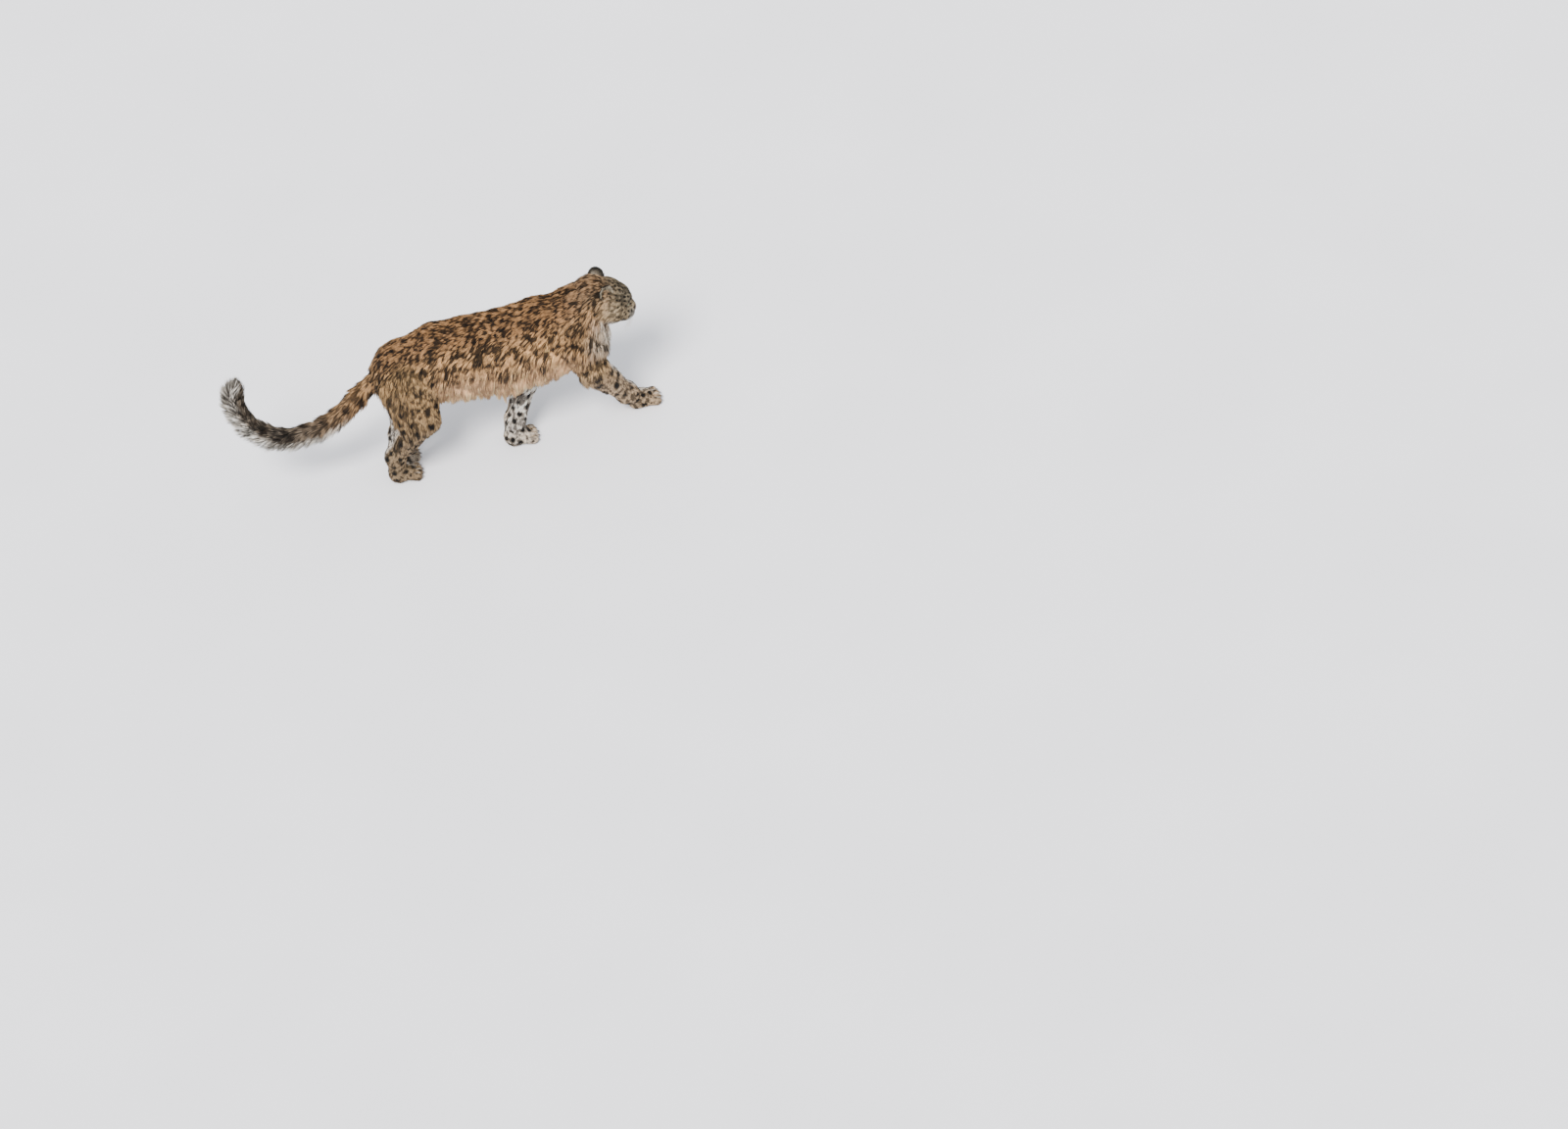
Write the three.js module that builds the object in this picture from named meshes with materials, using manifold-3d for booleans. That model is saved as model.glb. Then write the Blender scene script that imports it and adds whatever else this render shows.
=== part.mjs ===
// A snow leopard in its winter coat, life size, in mid stride, as a still model.
// Millimetres. +X is the way the animal faces, +Y its left side, +Z up, and z = 0 the floor under its soles.
import * as THREE from "three";
import Module from "manifold-3d";

const kernel = await Module();
kernel.setup();

// Driving dimensions
const withersHeight = 600;
const trunkLength = 840; // back of the thigh to the breast
const trunkWidth = 285;
const headLength = 240; // nose to the back of the skull
const headPitch = 36; // degrees, nose down
const headTurn = 6; // degrees, to its left
const eyeRadius = 14.5;
const earHeight = 50;
const pawLength = 120;
const tailRadius = 48; // out to the tips of its coat
const pieceGap = 0.3; // between two neighbouring pieces

const vec = (x, y, z) => new THREE.Vector3(x, y, z);
const degrees = THREE.MathUtils.degToRad;
const UP = vec(0, 0, 1);
const LEFT = vec(0, 1, 0);

// A place on the animal: share of the trunk's length ahead of the right hind paw, millimetres to the left,
// and share of the height at the withers.
const place = (along, left, up) => vec(along * trunkLength, left, up * withersHeight);

// Fields: the distance to a form's surface, below zero inside it

// Flesh between two centres with a radius at each. width stretches it to the animal's left and right.
function limb(a, radiusA, b = a, radiusB = radiusA, width = 1) {
  const along = b.clone().sub(a);
  const lengthSquared = Math.max(along.lengthSq(), 1e-6);
  return (p) => {
    const off = p.clone().sub(a);
    const share = THREE.MathUtils.clamp(off.dot(along) / lengthSquared, 0, 1);
    off.addScaledVector(along, -share);
    off.y /= width;
    return off.length() - THREE.MathUtils.lerp(radiusA, radiusB, share);
  };
}

function smoothMin(a, b, softness) {
  const overlap = Math.max(softness - Math.abs(a - b), 0) / softness;
  return Math.min(a, b) - (overlap * overlap * softness) / 4;
}

const blend = (softness, fields) => (p) =>
  fields.map((field) => field(p)).reduce((a, b) => smoothMin(a, b, softness));

const hollow = (softness, field, tools) => (p) =>
  tools.reduce((distance, tool) => -smoothMin(-distance, tool(p), softness), field(p));

// The same field carried into the world by a matrix.
function carried(field, matrix) {
  const back = matrix.clone().invert();
  return (p) => field(p.clone().applyMatrix4(back));
}

// How far a ray travels inside a field before it leaves it, at most reach.
function wayOut(field, from, direction, reach) {
  const p = vec(0, 0, 0);
  const at = (t) => field(p.copy(direction).multiplyScalar(t).add(from));
  let inside = 0;
  let t = 0;
  let distance = at(0);
  while (distance < 0 && t < reach) {
    inside = t;
    t = Math.min(t + Math.max(-0.6 * distance, 0.5), reach);
    distance = at(t);
  }
  if (distance < 0) return reach;
  let outside = t;
  for (let i = 0; i < 12; i++) {
    const middle = (inside + outside) / 2;
    if (at(middle) < 0) inside = middle;
    else outside = middle;
  }
  return outside;
}

// Solids

// A solid from a closed surface, turned the right way round if its faces point inwards.
function solidOf(geometry) {
  const build = (index) => new kernel.Manifold(
    new kernel.Mesh({
      numProp: 3,
      vertProperties: new Float32Array(geometry.attributes.position.array),
      triVerts: new Uint32Array(index),
    }),
  );
  const solid = build(geometry.index.array);
  return solid.volume() > 0 ? solid : build([...geometry.index.array].reverse());
}

// Closes a stack of rings of points, each with as many points, between a first and a last point.
function closedRings(first, rings, last) {
  const sides = rings[0].length;
  const points = [first, ...rings.flat(), last];
  const index = [];
  const at = (ring, side) => 1 + ring * sides + (side % sides);
  for (let side = 0; side < sides; side++) {
    index.push(0, at(0, side), at(0, side + 1));
    for (let ring = 0; ring + 1 < rings.length; ring++) {
      const [a, b, c, d] = [
        at(ring, side), at(ring, side + 1), at(ring + 1, side), at(ring + 1, side + 1),
      ];
      index.push(a, d, b, a, c, d);
    }
    index.push(points.length - 1, at(rings.length - 1, side + 1), at(rings.length - 1, side));
  }
  return new THREE.BufferGeometry().setFromPoints(points).setIndex(index);
}

// A closed skin over a field. Rays leave a straight or bent axis in rings, and fan out into a cap at each end.
function skinOver(field, axis, { rings, sides, caps = 4, reach = 300, upward = UP, grow = 0 }) {
  const stations = [];
  const quarter = Math.PI / 2;
  for (let i = 1; i < caps; i++) stations.push([0, (i / caps) * quarter]);
  for (let i = 0; i <= rings; i++) stations.push([i / rings, quarter]);
  for (let i = caps - 1; i > 0; i--) stations.push([1, Math.PI - (i / caps) * quarter]);
  const surfacePoint = (centre, direction) =>
    centre.clone().addScaledVector(direction, wayOut(field, centre, direction, reach) + grow);
  const ringAt = ([share, tilt]) => {
    const centre = axis.getPointAt(share);
    const ahead = axis.getTangentAt(share);
    const side = vec(0, 0, 0).crossVectors(upward, ahead).normalize();
    const above = vec(0, 0, 0).crossVectors(ahead, side);
    return Array.from({ length: sides }, (_, i) => {
      const turn = (i / sides) * 2 * Math.PI;
      const direction = above.clone().multiplyScalar(Math.cos(turn));
      direction.addScaledVector(side, Math.sin(turn)).multiplyScalar(Math.sin(tilt));
      direction.addScaledVector(ahead, -Math.cos(tilt)).normalize();
      return surfacePoint(centre, direction);
    });
  };
  const start = surfacePoint(axis.getPointAt(0), axis.getTangentAt(0).negate());
  const end = surfacePoint(axis.getPointAt(1), axis.getTangentAt(1));
  return solidOf(closedRings(start, stations.map(ringAt), end));
}

const line = (a, b) => new THREE.LineCurve3(a, b);

function joined(pieces) {
  return pieces.reduce((whole, piece) => whole.add(piece));
}

// The largest closed surface of a solid, without loose scraps.
function largest(solid) {
  return solid.decompose().reduce((a, b) => (b.volume() > a.volume() ? b : a));
}

// The part of a solid ahead of a plane, which keeps half the gap to it.
const ahead = (solid, point, normal) =>
  solid.trimByPlane(normal.toArray(), point.dot(normal) + pieceGap / 2);
const behind = (solid, point, normal) => ahead(solid, point, normal.clone().negate());

// Locks of the long coat

const lockThickness = 10;
const lockSink = 12; // how far a lock's root is sunk under the core
const lockProfile = [[0.1, 0.85], [0.78, 0.9]]; // share of the length, share of the width

// Even random numbers between low and high, the same at every build.
let seed = 1291;
function random(low, high) {
  seed = (seed + 0x6d2b79f5) | 0;
  let mixed = Math.imul(seed ^ (seed >>> 15), 1 | seed);
  mixed = (mixed + Math.imul(mixed ^ (mixed >>> 7), 61 | mixed)) ^ mixed;
  return low + (((mixed ^ (mixed >>> 14)) >>> 0) / 2 ** 32) * (high - low);
}

// A flat, tapered lock along a path of centres, wide across and thin above, with its root sunk in the core.
function lockAlong(centreAt, width) {
  const rings = lockProfile.map(([share, full]) => {
    const { centre, across, above } = centreAt(share);
    const [half, deep] = [(width / 2) * full, (lockThickness / 2) * full];
    return [[half, 0], [0, deep], [-half, 0], [0, -deep]].map(([a, b]) =>
      centre.clone().addScaledVector(across, a).addScaledVector(above, b));
  });
  return solidOf(closedRings(centreAt(-0.08).centre, rings, centreAt(1).centre));
}

// A lock that leaves its root along the coat, stands off it by rise, and bends sideways at the tip.
function lock(root, lie, out, { length, width, rise, bend }) {
  const across = vec(0, 0, 0).crossVectors(lie, out).normalize();
  const above = vec(0, 0, 0).crossVectors(across, lie).normalize();
  return lockAlong((share) => ({
    centre: root.clone()
      .addScaledVector(lie, length * share)
      .addScaledVector(above, rise * (1 - (1 - share) ** 2))
      .addScaledVector(across, bend * share ** 2),
    across,
    above,
  }), width);
}

// Where a lock is rooted: sunk under the surface that a ray from inside a form leaves by.
const rootUnder = (field, from, out) =>
  from.clone().addScaledVector(out, wayOut(field, from, out, 200) - lockSink);

// Trunk, neck and head

const fringe = 105; // how far the belly's long coat hangs below the flesh
const coatShare = 0.45; // the share of the long coat's depth that the solid core fills

const rump = place(0.13, 0, 0.79);
const hips = place(0.305, 0, 0.815);
const loin = place(0.43, 0, 0.79);
const belly = place(0.61, 0, 0.745);
const ribs = place(0.775, 0, 0.75);
const chest = place(0.9, 0, 0.75);
const neckBase = place(0.93, 0, 0.845);
const breast = place(0.93, 0, 0.62);
const skull = place(1.083, 0, 0.884);
const neckRadius = 86;
const chestRadius = 144;
const bladeTips = [place(0.955, 44, 0.88), place(0.975, -46, 0.86)]; // tops of the shoulder blades
const bladeRadius = 44;

// The head's own frame: x towards the nose, y to its left, z towards the crown, from the middle of the skull.
const headFrame = new THREE.Matrix4()
  .makeRotationFromEuler(
    new THREE.Euler(0, degrees(headPitch), degrees(headTurn), "ZYX"))
  .setPosition(skull)
  .scale(vec(1, 1, 1).multiplyScalar(headLength / 240));
const inHead = (x, y, z) => vec(x, y, z);
const headPoint = (x, y, z) => vec(x, y, z).applyMatrix4(headFrame);

const backbone = [
  [rump, 108, 0.95], [hips, 130, 0.93], [loin, 137, 0.91], [belly, 149, 0.89],
  [ribs, 151, trunkWidth / 320], [chest, chestRadius, 0.87], [neckBase, neckRadius, 1.1],
];
const trunkBlend = 50; // reach of the soft joins between the trunk's forms
const barrel = blend(12, backbone.slice(1).map(([to, radius, width], i) =>
  limb(backbone[i][0], backbone[i][1], to, radius, width)));
const keelRadius = 55;
const keelEdge = (side, drop) => [
  place(0.3, side * 52, 0.69), place(0.5, side * 54, 0.65), place(0.83, side * 50, 0.72),
].map((p) => p.setZ(p.z - drop));
const keels = [1, -1].flatMap((side) => {
  const [back, low, front] = keelEdge(side, fringe * coatShare);
  return [limb(back, keelRadius, low, keelRadius, 0.85), limb(low, keelRadius, front, keelRadius, 0.85)];
});
const flesh = [
  barrel,
  limb(breast, 0.51 * chestRadius, chest, 0.76 * chestRadius),
  ...bladeTips.map((tip) => limb(tip, bladeRadius)),
  limb(neckBase, 0.95 * neckRadius, headPoint(-66, 0, 6), 0.81 * neckRadius, 1.15),
];
const bodyField = blend(trunkBlend, flesh);
const trunkField = blend(trunkBlend, [...flesh, ...keels]);

const pair = (make) => [make(1), make(-1)];

// The head's forms from the skull to the chin, in its own frame.
const faceBlend = 14;
const socket = (s) => limb(inHead(84, s * 37, 13), 13, inHead(88, s * 40, 10), 12);
const headShape = hollow(
  12,
  blend(faceBlend, [
    limb(inHead(-44, 0, 4), 64, inHead(0, 0, 10), 67, 1.15), // skull
    limb(inHead(4, 0, 20), 58, inHead(38, 0, 23), 47, 1.2), // forehead
    ...pair((s) => limb(inHead(-16, s * 50, -24), 45, inHead(28, s * 46, -24), 40)), // cheeks
    ...pair((s) => limb(inHead(38, s * 45, -12), 28, inHead(60, s * 36, -18), 21)), // cheekbones
    ...pair((s) => limb(inHead(50, s * 40, 34), 17, inHead(70, s * 21, 36), 14)), // brows
    limb(inHead(58, 0, 22), 25, inHead(110, 0, -3), 16, 1.45), // bridge of the nose
    limb(inHead(62, 0, -18), 37, inHead(98, 0, -24), 27, 1.3), // muzzle
    ...pair((s) => limb(inHead(107, s * 18, -30), 20, inHead(84, s * 31, -33), 25)), // whisker pads
    limb(inHead(10, 0, -44), 38, inHead(82, 0, -52), 23, 1.3), // lower jaw
    limb(inHead(90, 0, -59), 17, inHead(108, 0, -57), 13, 1.5), // chin
  ]),
  pair(socket),
);
const headField = carried(headShape, headFrame);
const frontField = blend(26, [trunkField, headField]);

const neckRoot = place(0.975, 0, 0.83);
const neckNormal = vec(1, 0, 0.35).normalize();
const throat = place(1.055, 0, 0.87);
const throatNormal = vec(1, 0, 0.22).normalize();

const spine = new THREE.CatmullRomCurve3([
  place(0.1, 0, 0.78), hips, loin, belly, ribs, chest, place(1.02, 0, 0.81),
]);
const trunkSkin = (grow) => skinOver(trunkField, spine, { rings: 22, sides: 24, caps: 4, grow });

const throatAxis = line(place(0.93, 0, 0.81), place(1.075, 0, 0.88));
const neckSkin = skinOver(frontField, throatAxis, { rings: 6, sides: 24, caps: 2 });

const headAxis = line(headPoint(-40, 0, 0), headPoint(84, 0, -22));
const headSkin = (grow) =>
  skinOver(frontField, headAxis, { rings: 12, sides: 30, caps: 5, reach: 130, grow });

// The belly's fringe, in three rows on each side: the turn of each row's roots from straight down to the
// outside, and how far its tips end above the coat's lowest line.
const fringeRows = [
  { turn: 88, count: 14, width: 50, lift: 18 },
  { turn: 36, count: 13, width: 54, lift: 8 },
  { turn: -20, count: 6, width: 78, lift: 0 },
];
const fringeLie = vec(-0.24, 0, -1).normalize();
function fringeLocks(side) {
  const edge = new THREE.CatmullRomCurve3(keelEdge(side, fringe * coatShare));
  return fringeRows.flatMap(({ turn, count, width, lift }) => Array.from({ length: count }, (_, i) => {
    const from = edge.getPointAt((i + 0.5 + random(-0.25, 0.25)) / count);
    const out = vec(0, side * Math.sin(degrees(turn)), -Math.cos(degrees(turn)));
    const root = rootUnder(trunkField, from, out);
    const tip = from.z - fringe * (1 - coatShare) - keelRadius + lift + random(-6, 6);
    const length = (root.z - tip) / -fringeLie.z;
    const lie = fringeLie.clone().add(vec(0, -0.16 * out.y, 0)).normalize();
    return lock(root, lie, vec(0, side, 0), {
      length, width: width * random(0.9, 1.1), rise: random(3, 7), bend: random(-8, 8),
    });
  }));
}

// The throat's and breast's long hair, in rows down the front: a place on the middle line, how far the
// row turns to each side.
const throatRows = [
  { from: place(0.98, 0, 0.85), tilt: -46, spread: 56, count: 4 },
  { from: place(0.95, 0, 0.78), tilt: -30, spread: 54, count: 4 },
  { from: place(0.93, 0, 0.7), tilt: -14, spread: 34, count: 3 },
];
const throatHair = throatRows.flatMap(({ from, tilt, spread, count }) =>
  Array.from({ length: count }, (_, i) => {
    const turn = degrees(spread * ((2 * (i + 0.5)) / count - 1) + random(-5, 5));
    const level = Math.cos(degrees(tilt));
    const out = vec(level * Math.cos(turn), level * Math.sin(turn), Math.sin(degrees(tilt)));
    const root = rootUnder(trunkField, from, out);
    const lie = vec(-0.5, 0, -1).addScaledVector(out, 0.3).normalize();
    return lock(root, lie, out, { length: random(74, 84), width: random(52, 60), rise: 14, bend: random(-8, 8) });
  }));

// The ruff behind the cheeks, in the head's frame: up and down from the corner of the jaw.
const ruffTurns = [14, -16, -46, -76];
const ruffHair = pair((side) => ruffTurns.map((turn) => {
  const out = vec(0, side * Math.cos(degrees(turn)), Math.sin(degrees(turn))).transformDirection(headFrame);
  const root = rootUnder(frontField, headPoint(6, 0, -22), out);
  const back = vec(-1, 0, -0.35).transformDirection(headFrame);
  const lie = back.addScaledVector(out, 0.1).normalize();
  return lock(root, lie, out, { length: random(64, 74), width: random(56, 62), rise: 15, bend: random(-6, 6) });
})).flat();

// Ears, eyes and nose

function ball(centre, radius, details = 12) {
  const down = Math.round(details / 2);
  const sphere = new THREE.SphereGeometry(radius, details, down).translate(...centre.toArray());
  return closedSphere(sphere, details, down);
}

// A sphere's own grid has a seam and doubled poles, so its rings are closed again without them.
function closedSphere(sphere, around, down) {
  const p = sphere.attributes.position;
  const at = (ring, side) => vec(0, 0, 0).fromBufferAttribute(p, ring * (around + 1) + side);
  const rings = Array.from({ length: down - 1 }, (_, ring) =>
    Array.from({ length: around }, (_, side) => at(ring + 1, side)));
  return solidOf(closedRings(at(0, 0), rings, at(down, 0)));
}

function turned(solid, matrix) {
  return solid.transform(matrix.elements.slice());
}

// An ear's own frame: x out of its cup, z up to its tip.
const earSpread = 58.5; // from the middle of the crown to the middle of an ear
const earTurn = 46; // degrees that its cup faces to the side
const earTilt = 20; // degrees that its tip leans out
const earLean = 10; // degrees that its tip leans forward
function earFrame(side) {
  const frame = new THREE.Matrix4().makeRotationFromEuler(
    new THREE.Euler(degrees(-side * earTilt), degrees(-earLean), degrees(side * earTurn), "ZYX"));
  frame.setPosition(inHead(-38, side * earSpread, 38));
  return headFrame.clone().multiply(frame);
}

// A small rounded ear, cupped towards the front. Its rings climb from a sunk root to the rim.
const earWidth = 66;
const earCup = 17;
function ear(side) {
  const across = 6;
  const ringAt = (height) => {
    const rise = Math.max(height, 0);
    const half = (earWidth / 2) * Math.sqrt(Math.max(1 - rise ** 2.3, 0.01)) * (1 - 0.12 * Math.max(-height, 0));
    const cup = earCup * (0.3 + 0.7 * half / (earWidth / 2)) * (1 - 0.35 * rise);
    const thick = 7 * (1 - 0.55 * rise) + 16 * Math.max(0.35 - height, 0);
    const point = (i, back) => {
      const turn = (i / across - 0.5) * Math.PI;
      const bulge = Math.cos(turn);
      return vec(-cup * bulge - (back ? thick * bulge + 1.5 : -1.5) + 6 * rise, half * Math.sin(turn), height * earHeight);
    };
    const front = Array.from({ length: across + 1 }, (_, i) => point(i, false));
    const rear = Array.from({ length: across + 1 }, (_, i) => point(across - i, true));
    return [...front, ...rear];
  };
  const rings = [-0.4, 0, 0.25, 0.5, 0.7, 0.86, 0.96].map(ringAt);
  const middleOf = (ring) => ring.reduce((sum, p) => sum.add(p), vec(0, 0, 0)).divideScalar(ring.length);
  const rim = rings.at(-1);
  const tip = rim[across / 2].clone().lerp(rim[across * 1.5 + 1], 0.5).setZ(earHeight);
  const shell = solidOf(closedRings(middleOf(rings[0]), rings, tip));
  return turned(shell, earFrame(side));
}

// Each eye is set back from the face's surface along the way that it looks.
const gazeOut = 24; // degrees that each eye looks away from straight ahead
const eyeSink = 7.5;
const gaze = (side) => vec(Math.cos(degrees(gazeOut)), side * Math.sin(degrees(gazeOut)), 0.1).normalize();
function eyeCentre(side) {
  const behindEye = inHead(34, side * 20, 12);
  return behindEye.addScaledVector(gaze(side), wayOut(headShape, behindEye, gaze(side), 60) - eyeSink);
}
const eyeWorld = (side) => eyeCentre(side).applyMatrix4(headFrame);
const eyeball = (side, grow) => ball(eyeWorld(side), eyeRadius + grow);

// A round band along a closed path, for the lids.
function band(points, radius, sections = 5) {
  const curve = new THREE.CatmullRomCurve3(points, true);
  const steps = points.length * 2;
  const rings = [];
  for (let i = 0; i < steps; i++) {
    const centre = curve.getPoint(i / steps);
    const along = curve.getTangent(i / steps);
    const out = centre.clone().sub(points.centre).normalize();
    const across = vec(0, 0, 0).crossVectors(along, out).normalize();
    rings.push(Array.from({ length: sections }, (_, k) => {
      const turn = (k / sections) * 2 * Math.PI;
      return centre.clone()
        .addScaledVector(out, radius * Math.cos(turn))
        .addScaledVector(across, radius * Math.sin(turn));
    }));
  }
  const index = [];
  const at = (ring, k) => (ring % steps) * sections + (k % sections);
  for (let ring = 0; ring < steps; ring++) {
    for (let k = 0; k < sections; k++) {
      index.push(at(ring, k), at(ring, k + 1), at(ring + 1, k + 1));
      index.push(at(ring, k), at(ring + 1, k + 1), at(ring + 1, k));
    }
  }
  return solidOf(new THREE.BufferGeometry().setFromPoints(rings.flat()).setIndex(index));
}

const lidThickness = 3.4;
const lidWidth = 0.9; // of an almond round the gaze, against eyeRadius
const lidHeight = 0.56;
function lids(side) {
  const look = gaze(side);
  const across = vec(0, 0, 0).crossVectors(UP, look).normalize();
  const above = vec(0, 0, 0).crossVectors(look, across);
  const points = Array.from({ length: 8 }, (_, i) => {
    const turn = (i / 8) * 2 * Math.PI;
    const direction = look.clone().multiplyScalar(0.7)
      .addScaledVector(across, lidWidth * Math.cos(turn))
      .addScaledVector(above, lidHeight * Math.sin(turn))
      .normalize();
    return eyeCentre(side).addScaledVector(direction, eyeRadius + 1).applyMatrix4(headFrame);
  });
  points.centre = eyeWorld(side);
  return band(points, lidThickness);
}

const noseShape = blend(5, [
  limb(inHead(118, 0, -5), 12, inHead(121, 0, -8), 11, 1.6),
  ...pair((s) => limb(inHead(122, s * 12, -13), 7.5, inHead(119, s * 15, -14), 6)),
  limb(inHead(119, 0, -23), 7, inHead(122, 0, -17), 9),
]);
const noseSkin = (grow) => skinOver(carried(noseShape, headFrame),
  line(headPoint(116, 0, -12), headPoint(124, 0, -13)), { rings: 1, sides: 12, caps: 3, reach: 40, grow });
const nostrils = joined(pair((s) => ball(headPoint(131, s * 10.5, -13), 5, 10)));

// The line of the mouth: a narrow groove from under the nose round each side of the muzzle.
const mouthDepth = 5;
function mouthGroove(side) {
  const turns = [2, 15, 34, 54, 74, 92].map(degrees);
  const points = turns.map((turn, i) => {
    const drop = -45 - 3.5 * Math.sin((i / 5) * Math.PI) + 3 * (i / 5);
    const centre = inHead(74, 0, drop);
    const direction = vec(Math.cos(turn), side * Math.sin(turn), 0);
    const out = wayOut(headShape, centre, direction, 90);
    return centre.addScaledVector(direction, out - mouthDepth / 2).applyMatrix4(headFrame);
  });
  return wire(points, 1.7, mouthDepth / 2);
}

// A four-sided wire through points, high by tall and deep by half its depth, closed at both ends.
function wire(points, tall, deep) {
  const curve = new THREE.CatmullRomCurve3(points);
  const steps = (points.length - 1) * 2;
  const crown = headPoint(0, 0, 1).sub(headPoint(0, 0, 0)).normalize();
  const rings = Array.from({ length: steps + 1 }, (_, i) => {
    const centre = curve.getPointAt(i / steps);
    const along = curve.getTangentAt(i / steps);
    const out = vec(0, 0, 0).crossVectors(along, crown).normalize();
    return [[1, 0], [0, 1], [-1, 0], [0, -1]].map(([a, b]) =>
      centre.clone().addScaledVector(crown, a * tall).addScaledVector(out, b * deep * 2));
  });
  const ends = [curve.getPointAt(0), curve.getPointAt(1)];
  return solidOf(closedRings(ends[0], rings, ends[1]));
}

// The pieces

const trunk = trunkSkin(0);
const trunkGrown = trunkSkin(2 * pieceGap);
const nodes = {};
const coats = {
  pale: { color: 0xcbb79c, roughness: 0.95 },
  tan: { color: 0x9c7a55, roughness: 0.95 },
  grey: { color: 0x9d8f7b, roughness: 0.95 },
  dark: { color: 0x33302c, roughness: 0.5 },
  eye: { color: 0x8d9a7c, roughness: 0.15 },
};

function keep(name, solid, coat) {
  nodes[name] = { solid: largest(solid), coat };
}

// The tail

const tailPoints = [
  place(0.08, 0, 0.85), place(0.02, 0, 0.79), place(-0.055, 0, 0.7), place(-0.185, -2, 0.565),
  place(-0.305, -4, 0.505), place(-0.44, -2, 0.515), place(-0.55, 2, 0.635), place(-0.605, 5, 0.795),
  place(-0.612, 8, 0.92), place(-0.595, 10, 0.99),
];
const tailCurve = new THREE.CatmullRomCurve3(tailPoints);
const tailShares = [0, 0.28, 0.53, 0.77, 1];
const tailSteps = 22;
const tailSides = 10;

// The tail core's thickness at a share of its length: nearly even, a little thinner at the root, round at
// the tip.
const tailFlesh = 25;
function tailThickness(share) {
  const tip = Math.sqrt(Math.max(1 - (Math.max(share - 0.93, 0) / 0.072) ** 2, 0.04));
  const core = tailFlesh + (tailRadius - tailFlesh) * coatShare;
  return core * (0.92 + 0.08 * Math.min(share / 0.2, 1)) * tip;
}

function tailSkin(grow) {
  const rings = Array.from({ length: tailSteps + 1 }, (_, i) => {
    const share = i / tailSteps;
    const centre = tailCurve.getPointAt(share);
    const above = vec(0, 0, 0).crossVectors(LEFT, tailCurve.getTangentAt(share)).normalize();
    return Array.from({ length: tailSides }, (_, k) => {
      const turn = (k / tailSides) * 2 * Math.PI;
      const direction = above.clone().multiplyScalar(Math.cos(turn)).addScaledVector(LEFT, -Math.sin(turn));
      return centre.clone().addScaledVector(direction, tailThickness(share) + grow);
    });
  });
  return solidOf(closedRings(tailCurve.getPointAt(0), rings, tailCurve.getPointAt(1)));
}

// The tail's locks lie towards its tip, in rings that are turned against each other.
const tailRings = 7;
const tailRound = 4;
const tailLockShare = 0.17; // of the tail's length
const tailLocks = Array.from({ length: tailRings * tailRound }, (_, i) => {
  const ring = Math.floor(i / tailRound);
  const start = 0.03 + (0.8 * ring) / (tailRings - 1) + random(-0.01, 0.01);
  const turn = degrees(((i % tailRound) + (ring % 2) / 2) * (360 / tailRound) + random(-10, 10));
  return lockAlong((share) => {
    const at = THREE.MathUtils.clamp(start + tailLockShare * share, 0, 1);
    const ring = vec(0, 0, 0).crossVectors(LEFT, tailCurve.getTangentAt(at)).normalize();
    const above = ring.multiplyScalar(Math.cos(turn)).addScaledVector(LEFT, -Math.sin(turn));
    const across = vec(0, 0, 0).crossVectors(tailCurve.getTangentAt(at), above);
    const root = tailThickness(start) - lockSink;
    const off = THREE.MathUtils.lerp(root, tailRadius, 1 - (1 - share) ** 2);
    return { centre: tailCurve.getPointAt(at).addScaledVector(above, off), across, above };
  }, random(56, 62));
});

// The legs

// Each leg: its joints from the body to the foot, the radius at each, and where its paw stands and points.
const legs = {
  front_right: {
    joints: [place(0.92, -74, 0.7), place(0.955, -96, 0.49), place(1.075, -32, 0.15)],
    radii: [80, 58, 41], paw: place(1.127, -14, 0), toes: 3, hind: false,
  },
  front_left: {
    joints: [place(0.87, 76, 0.71), place(0.72, 66, 0.54), place(0.567, -16, 0.16)],
    radii: [84, 56, 39], paw: place(0.556, -28, 0), toes: -3, hind: false,
  },
  hind_right: {
    joints: [place(0.15, -62, 0.74), place(0.165, -92, 0.48), place(0.01, -58, 0.2)],
    radii: [104, 70, 38], paw: place(0.016, -50, 0), toes: -4, hind: true, haunch: -50,
  },
  hind_left: {
    joints: [place(0.15, 62, 0.74), place(0.16, 90, 0.485), place(0.056, 54, 0.21)],
    radii: [104, 72, 38], paw: place(0.03, 46, 0), toes: 4, hind: true, haunch: -62,
  },
};

// A paw's own frame: on the floor under the ankle, x towards the toes.
function pawForms(leg) {
  const frame = new THREE.Matrix4().makeRotationZ(degrees(leg.toes)).setPosition(leg.paw)
    .scale(vec(1, 1, 1).multiplyScalar(pawLength / 126));
  const slim = leg.hind ? 0.92 : 1;
  const pad = carried(limb(vec(-12, 0, 31), 33, vec(30, 0, 29), 34, 1.24 * slim), frame);
  const toes = [-1.5, -0.5, 0.5, 1.5].map((k) => {
    const lead = Math.abs(k) < 1 ? 6 : 0;
    const from = vec(28 + lead, k * 20 * slim, 27);
    const to = vec(60 + lead, k * 23.5 * slim, 19);
    return { field: carried(limb(from, 17, to, 19.5, 0.86), frame), from, to };
  });
  return { pad, toes, frame };
}

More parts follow.
